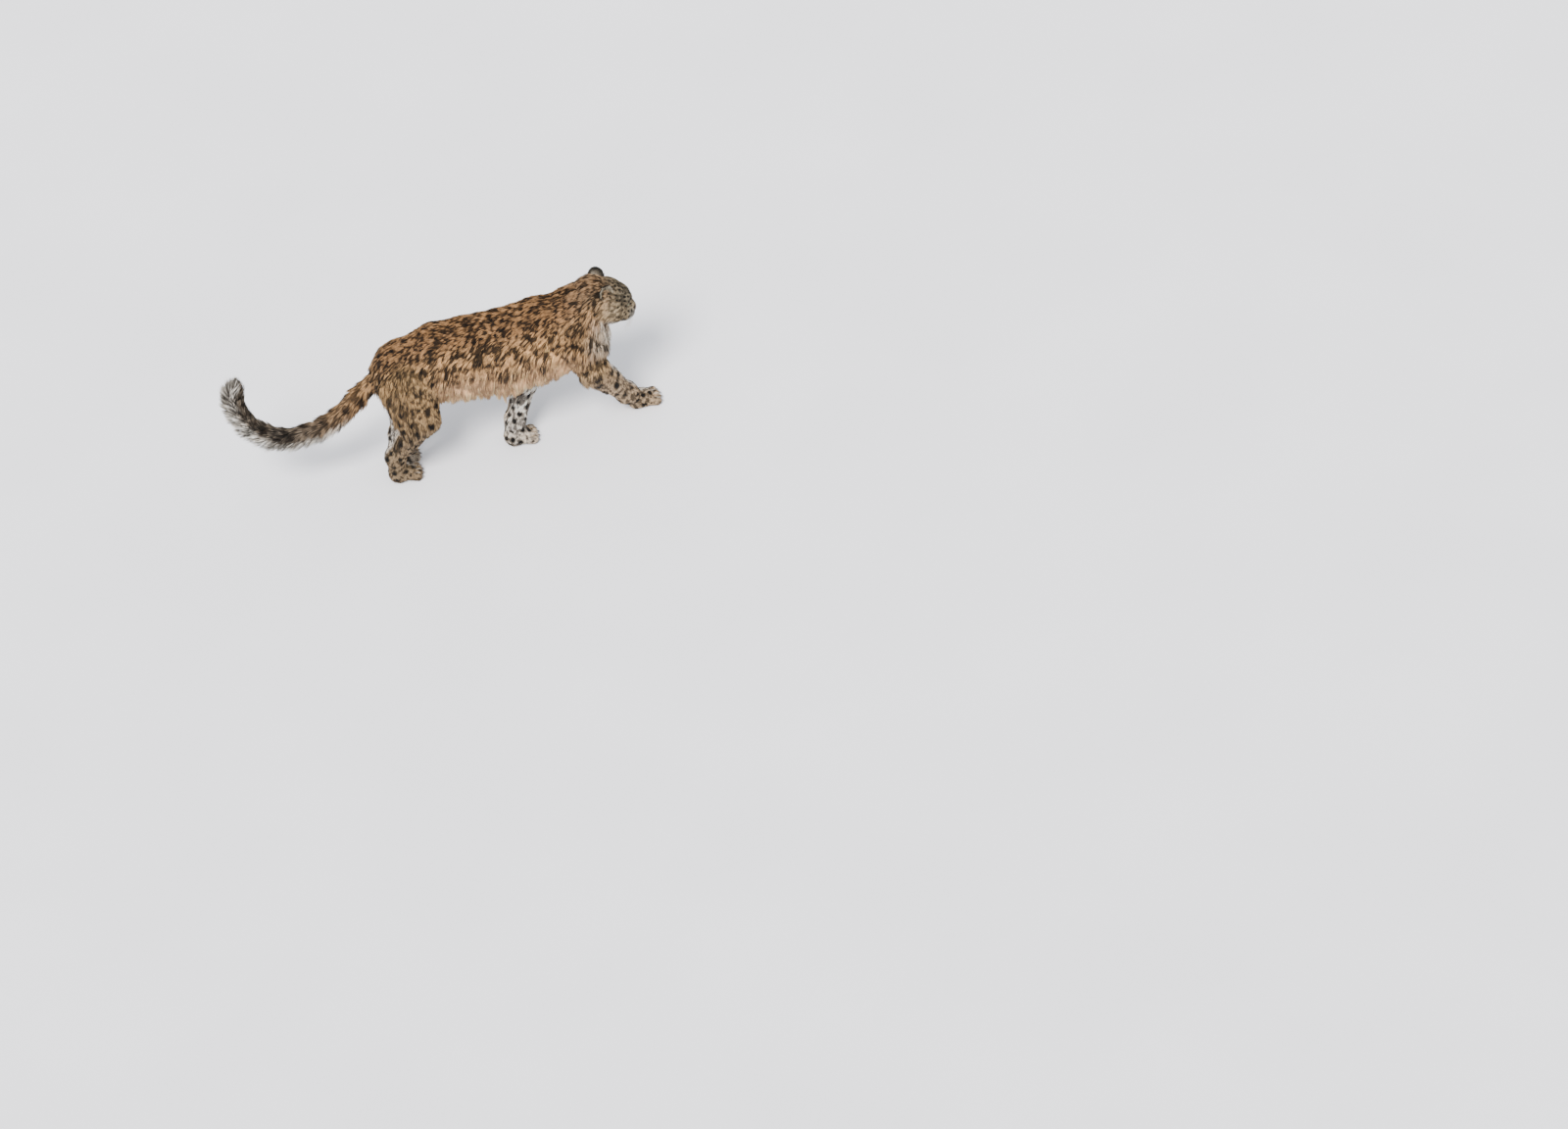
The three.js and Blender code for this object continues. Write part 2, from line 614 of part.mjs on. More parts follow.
// The long hair behind a thigh, from the seat down to the hock.
const thighCount = 6;
function thighLocks(leg, field) {
  const [root, bend] = leg.joints;
  const side = Math.sign(root.y);
  const heel = bend.clone().add(vec(leg.haunch, 0, 0));
  return Array.from({ length: thighCount }, (_, i) => {
    const share = (i + 0.5) / thighCount;
    const from = root.clone().add(vec(-30, 0, -20)).lerp(heel, share);
    const out = vec(-1, side * (i % 2 ? 0.85 : 0.25) + random(-0.1, 0.1), -0.1).normalize();
    const lie = vec(-0.1, 0, -1).addScaledVector(out, 0.12).normalize();
    return lock(rootUnder(field, from, out), lie, out, {
      length: random(80, 92), width: random(54, 60), rise: 16, bend: random(-7, 7),
    });
  });
}

const legBlend = 22;
const hipBlend = 40; // reach of the soft join to the body
const shoulderBlend = 28;
function legPieces(name) {
  const leg = legs[name];
  const [root, bend, ankle] = leg.joints;
  const [rootRadius, bendRadius, ankleRadius] = leg.radii;
  const { pad, toes, frame } = pawForms(leg);
  const pawTop = vec(-8, 0, 36).applyMatrix4(frame);
  const calf = leg.hind
    ? [
      limb(bend.clone().add(vec(-34, 0, -14)), 50, ankle.clone().lerp(bend, 0.45), 44),
      limb(root.clone().add(vec(-40, 0, -10)), 78, bend.clone().add(vec(leg.haunch, 0, 10)), 52, 0.8),
    ]
    : [limb(bend.clone().add(vec(-8, 0, 6)), 54, bend.clone().lerp(ankle, 0.45), 47)];
  const legField = blend(legBlend, [
    limb(root, rootRadius, bend, bendRadius, 0.8),
    limb(bend, bendRadius * 0.88, ankle, ankleRadius),
    ...calf,
    limb(ankle, ankleRadius, pawTop, 36),
    pad,
  ]);
  const field = blend(leg.hind ? hipBlend : shoulderBlend, [legField, bodyField]);
  const along = (a, b) => b.clone().sub(a).normalize();
  const kneeNormal = along(root, bend).add(along(bend, ankle)).normalize();
  const ankleNormal = along(bend, ankle).add(along(ankle, pawTop)).normalize();
  const made = (grow) => {
    const toeSkin = ({ field: toe, from, to }) => skinOver(toe,
      line(from.clone().applyMatrix4(frame), to.clone().applyMatrix4(frame)),
      { rings: 1, sides: 6, caps: 3, reach: 30, grow });
    const padAxis = line(vec(-14, 0, 31).applyMatrix4(frame), vec(32, 0, 29).applyMatrix4(frame));
    return {
      upper: skinOver(field, line(root, bend),
        { rings: 6, sides: 16, caps: 3, reach: rootRadius * 1.3, upward: LEFT, grow }),
      lower: skinOver(field, line(bend, ankle),
        { rings: 6, sides: 14, caps: 3, reach: bendRadius * 1.6, upward: LEFT, grow }),
      foot: joined([
        skinOver(field, line(ankle, pawTop), { rings: 2, sides: 10, caps: 2, reach: 50, upward: LEFT, grow }),
        skinOver(pad, padAxis, { rings: 1, sides: 12, caps: 3, reach: 60, grow }),
        ...toes.map(toeSkin),
      ]).trimByPlane([0, 0, 1], 0),
    };
  };
  const outside = vec(0, Math.sign(root.y), 0);
  const cut = ({ upper, lower, foot }) => ({
    upper: ahead(behind(behind(upper, bend, kneeNormal), neckRoot, neckNormal), vec(0, 0, 0), outside),
    lower: behind(ahead(lower, bend, kneeNormal), ankle, ankleNormal),
    foot: ahead(foot, ankle, ankleNormal),
  });
  const bare = made(0);
  const { upper, lower, foot } = made(2 * pieceGap);
  const below = joined([lower, foot]);
  const whole = [behind(upper, bend, kneeNormal), below];
  if (leg.hind) {
    const hair = joined(thighLocks(leg, field)).subtract(below);
    bare.upper = bare.upper.add(hair);
    whole.push(hair);
  }
  return { cut: cut(bare), below, whole: joined(whole) };
}

const legSolids = [];
const legWholes = [];
const trunkAndTail = trunkGrown.add(tailSkin(2 * pieceGap));
for (const name of Object.keys(legs)) {
  const { cut, below, whole } = legPieces(name);
  legSolids.push(below);
  legWholes.push(whole);
  keep(`leg_${name}_upper`, cut.upper.subtract(trunkAndTail), "tan");
  keep(`leg_${name}_lower`, cut.lower.subtract(trunkAndTail), "grey");
  keep(`paw_${name}`, cut.foot, "pale");
}

const tail = tailSkin(0).add(joined(tailLocks).subtract(joined(legWholes))).subtract(trunkGrown);
["tail_root", "tail_middle", "tail_bend", "tail_tip"].forEach((name, i, names) => {
  const [from, to] = [tailShares[i], tailShares[i + 1]];
  let length = tail;
  if (i > 0) length = ahead(length, tailCurve.getPointAt(from), tailCurve.getTangentAt(from));
  if (i + 1 < names.length) length = behind(length, tailCurve.getPointAt(to), tailCurve.getTangentAt(to));
  keep(name, length, "tan");
});

// Torso, neck and head

const fringeAndThroat = joined([...pair(fringeLocks).flat(), ...throatHair]).subtract(joined(legWholes));
keep("torso", behind(trunk.add(fringeAndThroat), neckRoot, neckNormal), "tan");
const neckWhole = joined([neckSkin, ...ruffHair, ...throatHair]).subtract(joined(legSolids));
keep("neck", behind(ahead(neckWhole, neckRoot, neckNormal), throat, throatNormal), "grey");

const eyes = joined(pair((s) => eyeball(s, pieceGap)));
let head = ahead(joined([headSkin(0), ...ruffHair]), throat, throatNormal);
head = joined([head, lids(1), lids(-1)]).subtract(eyes).subtract(noseSkin(2 * pieceGap));
head = head.subtract(mouthGroove(1)).subtract(mouthGroove(-1));
keep("head", head, "grey");
keep("nose", noseSkin(0).subtract(nostrils), "dark");
const headGrown = headSkin(2 * pieceGap);
for (const [name, side] of [["left", 1], ["right", -1]]) {
  keep(`ear_${name}`, ear(side).subtract(headGrown), "dark");
  keep(`eye_${name}`, eyeball(side, 0), "eye");
}

// The model, centred over the floor

const leopard = new THREE.Group();
for (const [name, { solid, coat }] of Object.entries(nodes)) {
  const made = solid.getMesh();
  const geometry = new THREE.BufferGeometry()
    .setAttribute("position", new THREE.BufferAttribute(made.vertProperties, 3))
    .setIndex(new THREE.BufferAttribute(made.triVerts, 1));
  const mesh = new THREE.Mesh(geometry, new THREE.MeshStandardMaterial(coats[coat]));
  mesh.name = name;
  leopard.add(mesh);
}
const size = new THREE.Box3().setFromObject(leopard);
const middle = size.getCenter(vec(0, 0, 0));
for (const mesh of leopard.children) mesh.position.set(-middle.x, -middle.y, -size.min.z);

export default leopard;
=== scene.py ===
"""A snow leopard in its winter coat, life size, in mid stride.

The shape under the coat is built from rounded forms, in millimetres and in the animal's own frame:
x ahead of the right hind paw, y to its left, z above the floor. The coat is many small solid tufts.
"""

from __future__ import annotations

import logging
import math
from dataclasses import dataclass, field
from enum import Enum
from typing import Callable, Sequence

import bpy
import numpy as np
from mathutils import Matrix, Vector

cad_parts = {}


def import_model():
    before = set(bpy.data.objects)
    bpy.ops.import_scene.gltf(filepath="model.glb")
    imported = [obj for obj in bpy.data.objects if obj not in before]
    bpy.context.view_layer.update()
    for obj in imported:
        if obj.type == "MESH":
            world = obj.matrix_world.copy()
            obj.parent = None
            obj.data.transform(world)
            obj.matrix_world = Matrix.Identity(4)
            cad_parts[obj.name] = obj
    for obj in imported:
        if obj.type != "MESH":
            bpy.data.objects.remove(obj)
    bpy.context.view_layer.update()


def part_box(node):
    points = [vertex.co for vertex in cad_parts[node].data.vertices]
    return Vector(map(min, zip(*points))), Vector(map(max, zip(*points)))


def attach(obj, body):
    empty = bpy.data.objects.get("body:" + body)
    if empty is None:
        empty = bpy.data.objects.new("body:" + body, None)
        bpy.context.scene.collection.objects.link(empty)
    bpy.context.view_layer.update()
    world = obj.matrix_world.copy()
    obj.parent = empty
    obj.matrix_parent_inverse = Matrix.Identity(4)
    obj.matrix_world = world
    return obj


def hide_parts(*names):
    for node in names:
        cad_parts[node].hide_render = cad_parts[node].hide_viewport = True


LOG = logging.getLogger("snow_leopard")
MM = 0.001
PHOTO_WIDTH = 1600
PHOTO_HEIGHT = 1152

WITHERS_HEIGHT = 600.0
TRUNK_LENGTH = 840.0
FRINGE_DROP = 105.0
CORE_SHARE = 0.45
TAIL_RADIUS = 48.0
TAIL_FLESH = 25.0
EYE_RADIUS = 14.5
PAW_SCALE = 120.0 / 126.0
COAT_COLOUR = "coat_colour"

Array = np.ndarray
Piece = bpy.types.Object
Field = Callable[[Array], Array]
SkinField = Callable[[Array, Array], Array]
Colour = tuple[float, float, float]


def point(x: float, y: float, z: float) -> Array:
    """Makes a point in millimetres."""
    return np.array((x, y, z), float)


def place(along: float, left: float, up: float) -> Array:
    """Finds a place on the animal.

    Args:
        along: Share of the trunk's length ahead of the right hind paw.
        left: Millimetres to the animal's left.
        up: Share of the height at the withers.

    Returns:
        The place, in millimetres.
    """
    return point(along * TRUNK_LENGTH, left, up * WITHERS_HEIGHT)


def unit(vectors: Array) -> Array:
    """Scales vectors to length one."""
    lengths = np.linalg.norm(vectors, axis=-1, keepdims=True)
    return vectors / np.maximum(lengths, 1e-9)


def smooth_step(low: float, high: float, values: Array) -> Array:
    """Eases from 0 at low to 1 at high.

    Args:
        low: Where the result is 0.
        high: Where the result is 1.
        values: The values to ease.

    Returns:
        The eased values.
    """
    share = np.clip((values - low) / (high - low), 0.0, 1.0)
    return share * share * (3.0 - 2.0 * share)


def linear(red: float, green: float, blue: float) -> Array:
    """Turns a screen colour of 0 to 255 into the light that a shader reads.

    Args:
        red: Red of 0 to 255.
        green: Green of 0 to 255.
        blue: Blue of 0 to 255.

    Returns:
        The three linear values.
    """
    screen = np.array((red, green, blue), float) / 255.0
    return np.where(screen <= 0.04045, screen / 12.92, ((screen + 0.055) / 1.055) ** 2.4)


def mixed(first: Array, second: Array, share: Array) -> Array:
    """Goes from one colour to another.

    Args:
        first: The colour where the share is 0, or a row of it for each place.
        second: The colour where the share is 1, or a row of it for each place.
        share: One share for each place.

    Returns:
        A row for each place.
    """
    return first * (1 - share[:, None]) + second * share[:, None]


def wobble(points: Array, scale: float, seed: int) -> Array:
    """Smooth noise of about -1 to 1 over space.

    Args:
        points: Places in millimetres.
        scale: Size of the noise's lumps in millimetres.
        seed: Which noise it is.

    Returns:
        One value for each point.
    """
    rng = np.random.default_rng(seed)
    waves = 9
    ways = unit(rng.normal(size=(waves, 3))) * rng.uniform(0.7, 1.6, (waves, 1))
    phases = rng.uniform(0.0, 2.0 * math.pi, waves)
    return np.sin(points @ ways.T * (2.0 * math.pi / (scale * 2.2)) + phases).mean(axis=1) * 2.2


def nearest_few(points: Array, spots: Array, count: int) -> Array:
    """Finds the nearest of some spots.

    Args:
        points: Where to look from.
        spots: The spots.
        count: How many to find.

    Returns:
        For each point a row of the spots' numbers, in no order.
    """
    found, chunk = [], 8000
    for start in range(0, len(points), chunk):
        part = points[start : start + chunk]
        squares = (spots**2).sum(1) - 2 * part @ spots.T
        found.append(np.argpartition(squares, count - 1, axis=1)[:, :count])
    return np.concatenate(found)


# Forms


@dataclass(frozen=True)
class Limb:
    """Flesh between two centres, with a radius at each.

    Attributes:
        start: The first centre.
        start_radius: Radius there.
        end: The second centre.
        end_radius: Radius there.
        width: How much the form is stretched to the left and right.
    """

    start: Array
    start_radius: float
    end: Array
    end_radius: float
    width: float = 1.0

    def __call__(self, points: Array) -> Array:
        """Gives each point's distance to the surface, below zero inside."""
        along = self.end - self.start
        off = points - self.start
        share = np.clip(off @ along / max(float(along @ along), 1e-6), 0.0, 1.0)
        off = off - share[:, None] * along
        off[:, 1] /= self.width
        radius = self.start_radius + (self.end_radius - self.start_radius) * share
        return np.linalg.norm(off, axis=1) - radius


def smooth_min(a: Array, b: Array, softness: float) -> Array:
    """Takes the smaller of two distances, with a soft join."""
    overlap = np.maximum(softness - np.abs(a - b), 0.0) / softness
    return np.minimum(a, b) - overlap * overlap * softness / 4.0


def blend(softness: float, fields: Sequence[Field]) -> Field:
    """Joins forms softly.

    Args:
        softness: Reach of the join in millimetres.
        fields: The forms.

    Returns:
        The joined form.
    """

    def joined(points: Array) -> Array:
        """Gives the distance to the joined form."""
        distance = fields[0](points)
        for form in fields[1:]:
            distance = smooth_min(distance, form(points), softness)
        return distance

    return joined


def hollow(softness: float, form: Field, tools: Sequence[Field]) -> Field:
    """Cuts forms out of another softly.

    Args:
        softness: Reach of the rounded edge in millimetres.
        form: The form to cut.
        tools: The forms that are taken out of it.

    Returns:
        The hollowed form.
    """

    def cut(points: Array) -> Array:
        """Gives the distance to the hollowed form."""
        distance = form(points)
        for tool in tools:
            distance = -smooth_min(-distance, tool(points), softness)
        return distance

    return cut


@dataclass(frozen=True)
class Placement:
    """A turned and scaled place that forms are carried to.

    Attributes:
        turn: Rotation as a 3 by 3 array.
        origin: Where the place's own origin lies.
        scale: Size of the place's own unit.
    """

    turn: Array
    origin: Array
    scale: float = 1.0

    def out(self, points: Array) -> Array:
        """Carries points from the place's own frame into the animal's."""
        return points @ (self.turn * self.scale).T + self.origin

    def home(self, points: Array) -> Array:
        """Carries points from the animal's frame into the place's own."""
        return (points - self.origin) @ self.turn / self.scale

    def way(self, directions: Array) -> Array:
        """Turns directions from the place's own frame into the animal's."""
        return directions @ self.turn.T

    def carried(self, form: Field) -> Field:
        """Carries a form from the place's own frame into the animal's."""
        return lambda points: form(self.home(points))


def turned(*steps: tuple[float, str]) -> Array:
    """Multiplies rotations in order.

    Args:
        steps: Degrees and axis of each rotation.

    Returns:
        The rotation as a 3 by 3 array.
    """
    whole = Matrix.Identity(3)
    for angle, axis in steps:
        whole = whole @ Matrix.Rotation(math.radians(angle), 3, axis)
    return np.array(whole)


class Route:
    """A smooth line through points, spaced by its own length."""

    def __init__(self, knots: Sequence[Array], samples: int = 400) -> None:
        """Samples a centripetal curve through the knots.

        Args:
            knots: Points that the line passes.
            samples: How many steps the line is stored in.
        """
        ends = [2 * knots[0] - knots[1], *knots, 2 * knots[-1] - knots[-2]]
        pieces = len(knots) - 1
        dots = []
        for i in range(pieces):
            quad = ends[i : i + 4]
            spans = [np.linalg.norm(quad[k + 1] - quad[k]) ** 0.5 for k in range(3)]
            times = np.cumsum([0.0, *spans])
            for t in np.linspace(times[1], times[2], samples // pieces, endpoint=i == pieces - 1):
                dots.append(self._between(quad, times, t))
        self.dots = np.array(dots)
        steps = np.linalg.norm(np.diff(self.dots, axis=0), axis=1)
        self.lengths = np.concatenate(([0.0], np.cumsum(steps)))
        self.ways = unit(np.gradient(self.dots, axis=0))

    @staticmethod
    def _between(quad: Sequence[Array], times: Array, t: float) -> Array:
        """Blends four knots at a time between the middle two."""

        def mix(a: Array, b: Array, low: int, high: int) -> Array:
            """Blends two points between two of the knots' times."""
            share = (t - times[low]) / (times[high] - times[low])
            return (1.0 - share) * a + share * b

        first = [mix(quad[k], quad[k + 1], k, k + 1) for k in range(3)]
        second = [mix(first[k], first[k + 1], k, k + 2) for k in range(2)]
        return mix(second[0], second[1], 1, 2)

    def at(self, shares: Array) -> Array:
        """Gives the points at shares of the length."""
        wanted = np.asarray(shares) * self.lengths[-1]
        return np.stack([np.interp(wanted, self.lengths, self.dots[:, k]) for k in range(3)], axis=-1)

    def way(self, shares: Array) -> Array:
        """Gives the directions at shares of the length."""
        wanted = np.asarray(shares) * self.lengths[-1]
        ways = [np.interp(wanted, self.lengths, self.ways[:, k]) for k in range(3)]
        return unit(np.stack(ways, axis=-1))

    def nearest(self, points: Array) -> tuple[Array, Array]:
        """Finds where each point lies along the line.

        Args:
            points: The points.

        Returns:
            The share of the line's length nearest to each point, and the distance to it.
        """
        dots = self.dots[::4]
        best, far, chunk = np.zeros(len(points), int), np.zeros(len(points)), 20000
        for start in range(0, len(points), chunk):
            here = slice(start, start + chunk)
            part = points[here]
            squares = (part**2).sum(1)[:, None] - 2 * part @ dots.T + (dots**2).sum(1)
            best[here] = squares.argmin(axis=1)
            far[here] = np.sqrt(np.maximum(squares.min(axis=1), 0.0))
        return self.lengths[::4][best] / self.lengths[-1], far


# The animal under its coat


class Side(Enum):
    """The animal's two sides, as the sign of y."""

    LEFT = 1
    RIGHT = -1

    @property
    def word(self) -> str:
        """The side as it stands in names."""
        return self.name.lower()


def both(make: Callable[[int], list[Field]]) -> list[Field]:
    """Makes forms for the left and for the right side."""
    return [form for side in Side for form in make(side.value)]


@dataclass
class HeadForms:
    """The head's forms, in its own frame: x to the nose, y to its left, z to the crown.

    Attributes:
        skull: Middle of the skull in the animal's frame.
        pitch: Degrees nose down.
        turn: Degrees to its left.
        gaze_out: Degrees that each eye looks away from straight ahead.
        eye_sink: How deep an eye's middle lies under the face.
    """

    skull: Array = field(default_factory=lambda: place(1.083, 0, 0.884))
    pitch: float = 36.0
    turn: float = 6.0
    gaze_out: float = 24.0
    eye_sink: float = 7.5

    def __post_init__(self) -> None:
        """Places the head and builds its forms."""
        self.frame = Placement(turned((self.turn, "Z"), (self.pitch, "Y")), self.skull)
        self.shape = self._shape()
        self.world = self.frame.carried(self.shape)

    def limbs(self) -> list[Limb]:
        """Lists the head's forms: skull, brows, cheeks, bridge, muzzle, whisker pads, jaw and chin."""
        p = point
        return [
            Limb(p(-44, 0, 4), 64, p(0, 0, 10), 67, 1.15),
            Limb(p(4, 0, 20), 58, p(38, 0, 23), 47, 1.2),
            *both(lambda s: [Limb(p(-16, s * 50, -24), 45, p(28, s * 46, -24), 40)]),
            *both(lambda s: [Limb(p(38, s * 45, -12), 28, p(60, s * 36, -18), 21)]),
            *both(lambda s: [Limb(p(50, s * 40, 34), 17, p(70, s * 21, 36), 14)]),
            Limb(p(58, 0, 22), 25, p(110, 0, -3), 16, 1.45),
            Limb(p(62, 0, -18), 37, p(98, 0, -24), 27, 1.3),
            *both(lambda s: [Limb(p(107, s * 18, -30), 20, p(84, s * 31, -33), 25)]),
            Limb(p(10, 0, -44), 38, p(82, 0, -52), 23, 1.3),
            Limb(p(90, 0, -59), 17, p(108, 0, -57), 13, 1.5),
        ]

    def _shape(self) -> Field:
        """Joins the head's forms, with the eye sockets and the line of the mouth."""
        sockets = both(lambda s: [Limb(point(84, s * 37, 13), 13, point(88, s * 40, 10), 12)])
        face = hollow(12, blend(14, self.limbs()), sockets)
        self.lips = self.mouth_line(face)
        middle = self.lips[len(self.lips) // 2]
        crease = [*zip(self.lips[:-1:2], self.lips[2::2]), (middle, point(134, 0, -20))]
        threads = [Limb(a, 0.0, b, 0.0) for a, b in crease]

        def creased(points: Array) -> Array:
            """Presses the mouth's line and the groove under the nose into the face."""
            distance = face(points)
            low = (points[:, 0] > 20) & (points[:, 2] < 0) & (np.abs(distance) < 25)
            near = np.min([thread(points[low]) for thread in threads], axis=0)
            distance[low] += 2.8 * np.exp(-((near / 4.0) ** 2))
            return distance

        return creased

    def mouth_line(self, face: Field) -> Array:
        """Finds the line of the mouth on the face.

        Args:
            face: The face's form.

        Returns:
            Points from the right corner, under the nose and to the left corner.
        """
        count, corner = 41, 108
        turns = np.radians(np.linspace(-corner, corner, count))
        share = np.abs(np.linspace(-1, 1, count))
        ways = np.stack([np.cos(turns), np.sin(turns), np.zeros(count)], axis=1)
        height = -45 - 5.0 * np.sin(np.pi * share) + 3 * share
        starts = np.stack([np.full(count, 74.0), np.zeros(count), height], axis=1)
        return starts + ways * (way_out(face, starts, ways, 90.0) - 0.8)[:, None]

    def gaze(self, side: int) -> Array:
        """Gives the way that an eye looks, in the head's frame."""
        out = math.radians(self.gaze_out)
        return unit(point(math.cos(out), side * math.sin(out), 0.1))

    def eye(self, side: int) -> Array:
        """Gives the middle of an eye, in the head's frame."""
        behind = point(34, side * 20, 12)
        way = self.gaze(side)
        reach = way_out(self.shape, behind[None], way[None], 60.0)[0]
        return behind + way * (reach - self.eye_sink)


@dataclass(frozen=True)
class LegForms:
    """One leg and its paw.

    Attributes:
        name: The leg's name in the frame's nodes.
        joints: Its joints from the body to the foot.
        radii: Radius at each joint.
        paw: Where the paw stands.
        toes: Degrees that the toes point to the left.
        haunch: How far the hind edge of the thigh stands behind the knee, or 0 on a front leg.
    """

    name: str
    joints: tuple[Array, Array, Array]
    radii: tuple[float, float, float]
    paw: Array
    toes: float
    haunch: float = 0.0

    @property
    def frame(self) -> Placement:
        """The paw's own frame: on the floor under the ankle, x to the toes."""
        return Placement(turned((self.toes, "Z")), self.paw, PAW_SCALE)

    @property
    def paw_top(self) -> Array:
        """Where the leg meets the paw."""
        return self.frame.out(point(-8, 0, 36))

    def pad_form(self) -> Limb:
        """Makes the paw's main form, in the paw's frame."""
        slim = 0.92 if self.haunch else 1.0
        return Limb(point(-12, 0, 31), 33, point(30, 0, 29), 34, 1.24 * slim)

    def toe_forms(self) -> list[Limb]:
        """Makes the four toes, in the paw's frame."""
        slim = 0.92 if self.haunch else 1.0
        forms = []
        for k in (-1.5, -0.5, 0.5, 1.5):
            lead = 6 if abs(k) < 1 else 0
            start = point(28 + lead, k * 20 * slim, 27)
            forms.append(Limb(start, 16, point(60 + lead, k * 23.5 * slim, 19), 19.5, 0.76))
        return forms

    def form(self) -> Field:
        """Joins the leg's forms and the paw's main form, softly."""
        root, bend, ankle = self.joints
        root_radius, bend_radius, ankle_radius = self.radii
        if self.haunch:
            calf = [
                Limb(bend + point(-34, 0, -14), 50, ankle + 0.45 * (bend - ankle), 44),
                Limb(root + point(-40, 0, -10), 78, bend + point(self.haunch, 0, 10), 52, 0.8),
            ]
        else:
            calf = [Limb(bend + point(-8, 0, 6), 54, bend + 0.45 * (ankle - bend), 47)]
        return blend(22, [
            Limb(root, root_radius, bend, bend_radius, 0.8),
            Limb(bend, bend_radius * 0.88, ankle, ankle_radius),
            *calf,
            Limb(ankle, ankle_radius, self.paw_top, 36),
            self.frame.carried(self.pad_form()),
        ])


def all_legs() -> list[LegForms]:
    """Makes the four legs."""
    return [
        LegForms(
            "front_right", (place(0.92, -74, 0.7), place(0.955, -96, 0.49), place(1.075, -32, 0.15)),
            (80, 58, 41), place(1.127, -14, 0), 3,
        ),
        LegForms(
            "front_left", (place(0.87, 76, 0.71), place(0.72, 66, 0.54), place(0.567, -16, 0.16)),
            (84, 56, 39), place(0.556, -28, 0), -3,
        ),
        LegForms(
            "hind_right", (place(0.15, -62, 0.74), place(0.165, -92, 0.48), place(0.01, -58, 0.2)),
            (104, 70, 38), place(0.016, -50, 0), -4, -50,
        ),
        LegForms(
            "hind_left", (place(0.15, 62, 0.74), place(0.16, 90, 0.485), place(0.056, 54, 0.21)),
            (104, 72, 38), place(0.03, 46, 0), 4, -62,
        ),
    ]


@dataclass
class TrunkForms:
    """The trunk and neck, with the flesh and the core of the belly's fringe.

    Attributes:
        head: The head that the neck reaches.
    """

    head: HeadForms

    def __post_init__(self) -> None:
        """Builds the flesh, the trunk and the front of the animal."""
        flesh = self._flesh()
        self.body = blend(50, flesh)
        self.trunk = blend(50, [*flesh, *self._keels()])
        self.front = blend(26, [self.trunk, self.head.world])

    def _flesh(self) -> list[Field]:
        """Makes the barrel, breast, shoulder blades and neck."""
        head_point = self.head.frame.out
        chest, neck = place(0.9, 0, 0.75), place(0.93, 0, 0.845)
        stations = [
            (place(0.13, 0, 0.79), 108, 0.95), (place(0.305, 0, 0.815), 130, 0.93),
            (place(0.43, 0, 0.79), 137, 0.91), (place(0.61, 0, 0.745), 149, 0.89),
            (place(0.775, 0, 0.75), 151, 285 / 320), (chest, 144, 0.87), (neck, 86, 1.1),
        ]
        barrel = [Limb(a[0], a[1], *b) for a, b in zip(stations[:-1], stations[1:])]
        return [
            blend(12, barrel),
            Limb(place(0.93, 0, 0.62), 74, chest, 110),
            Limb(place(0.955, 44, 0.88), 44, place(0.9551, 44, 0.88), 44),
            Limb(place(0.975, -46, 0.86), 44, place(0.9751, -46, 0.86), 44),
            Limb(neck, 82, head_point(point(-66, 0, 6)), 70, 1.15),
        ]

    def keel_edge(self, side: int, drop: float) -> list[Array]:
        """Gives the line that the belly's fringe hangs along, lowered by a drop."""
        edge = [place(0.3, side * 52, 0.69), place(0.5, side * 54, 0.65), place(0.83, side * 50, 0.72)]
        return [knot - point(0, 0, drop) for knot in edge]

    def _keels(self) -> list[Field]:
        """Makes the core of the fringe on both sides."""

        def keel(side: int) -> list[Field]:
            """Makes the two lengths of one side's core."""
            back, low, front = self.keel_edge(side, FRINGE_DROP * CORE_SHARE)
            return [Limb(back, 55, low, 55, 0.85), Limb(low, 55, front, 55, 0.85)]

        return both(keel)


@dataclass
class TailForm:
    """The long tail, which hangs and curls up at its end."""

    def __post_init__(self) -> None:
        """Lays the tail's line."""
        self.route = Route([
            place(0.08, 0, 0.85), place(0.02, 0, 0.79), place(-0.055, 0, 0.7),
            place(-0.185, -2, 0.565), place(-0.305, -4, 0.505), place(-0.44, -2, 0.515),
            place(-0.55, 2, 0.635), place(-0.605, 5, 0.795), place(-0.612, 8, 0.92),
            place(-0.595, 10, 0.99),
        ])

    def radius(self, shares: Array) -> Array:
        """Gives the core's radius at shares of the length."""
        tip = np.sqrt(np.maximum(1 - (np.maximum(shares - 0.93, 0) / 0.072) ** 2, 0.04))
        core = TAIL_FLESH + (TAIL_RADIUS - TAIL_FLESH) * CORE_SHARE
        return core * (0.92 + 0.08 * np.minimum(shares / 0.2, 1)) * tip

    def __call__(self, points: Array) -> Array:
        """Gives each point's distance to the tail's surface."""
        shares, far = self.route.nearest(points)
        return far - self.radius(shares)


def way_out(form: Field, starts: Array, ways: Array, reach: float) -> Array:
    """Finds how far rays travel inside a form before they leave it.

    Args:
        form: The form.
        starts: Where the rays start, inside the form.
        ways: Their directions.
        reach: The longest way.

    Returns:
        The length of each ray inside the form.
    """
    count = len(starts)
    inside = np.zeros(count)
    outside = np.full(count, reach)
    going = np.arange(count)
    t = np.zeros(count)
    distance = form(starts)
    for _ in range(90):
        left = distance >= 0
        outside[going[left]] = t[going[left]]
        going = going[~left]
        if not len(going):
            break
        inside[going] = t[going]
        t[going] = np.minimum(t[going] + np.maximum(-0.6 * distance[~left], 0.5), reach)
        going = going[inside[going] < reach]
        distance = form(starts[going] + ways[going] * t[going, None])
    for _ in range(10):
        middle = (inside + outside) / 2
        within = form(starts + ways * middle[:, None]) < 0
        inside = np.where(within, middle, inside)
        outside = np.where(within, outside, middle)
    return outside


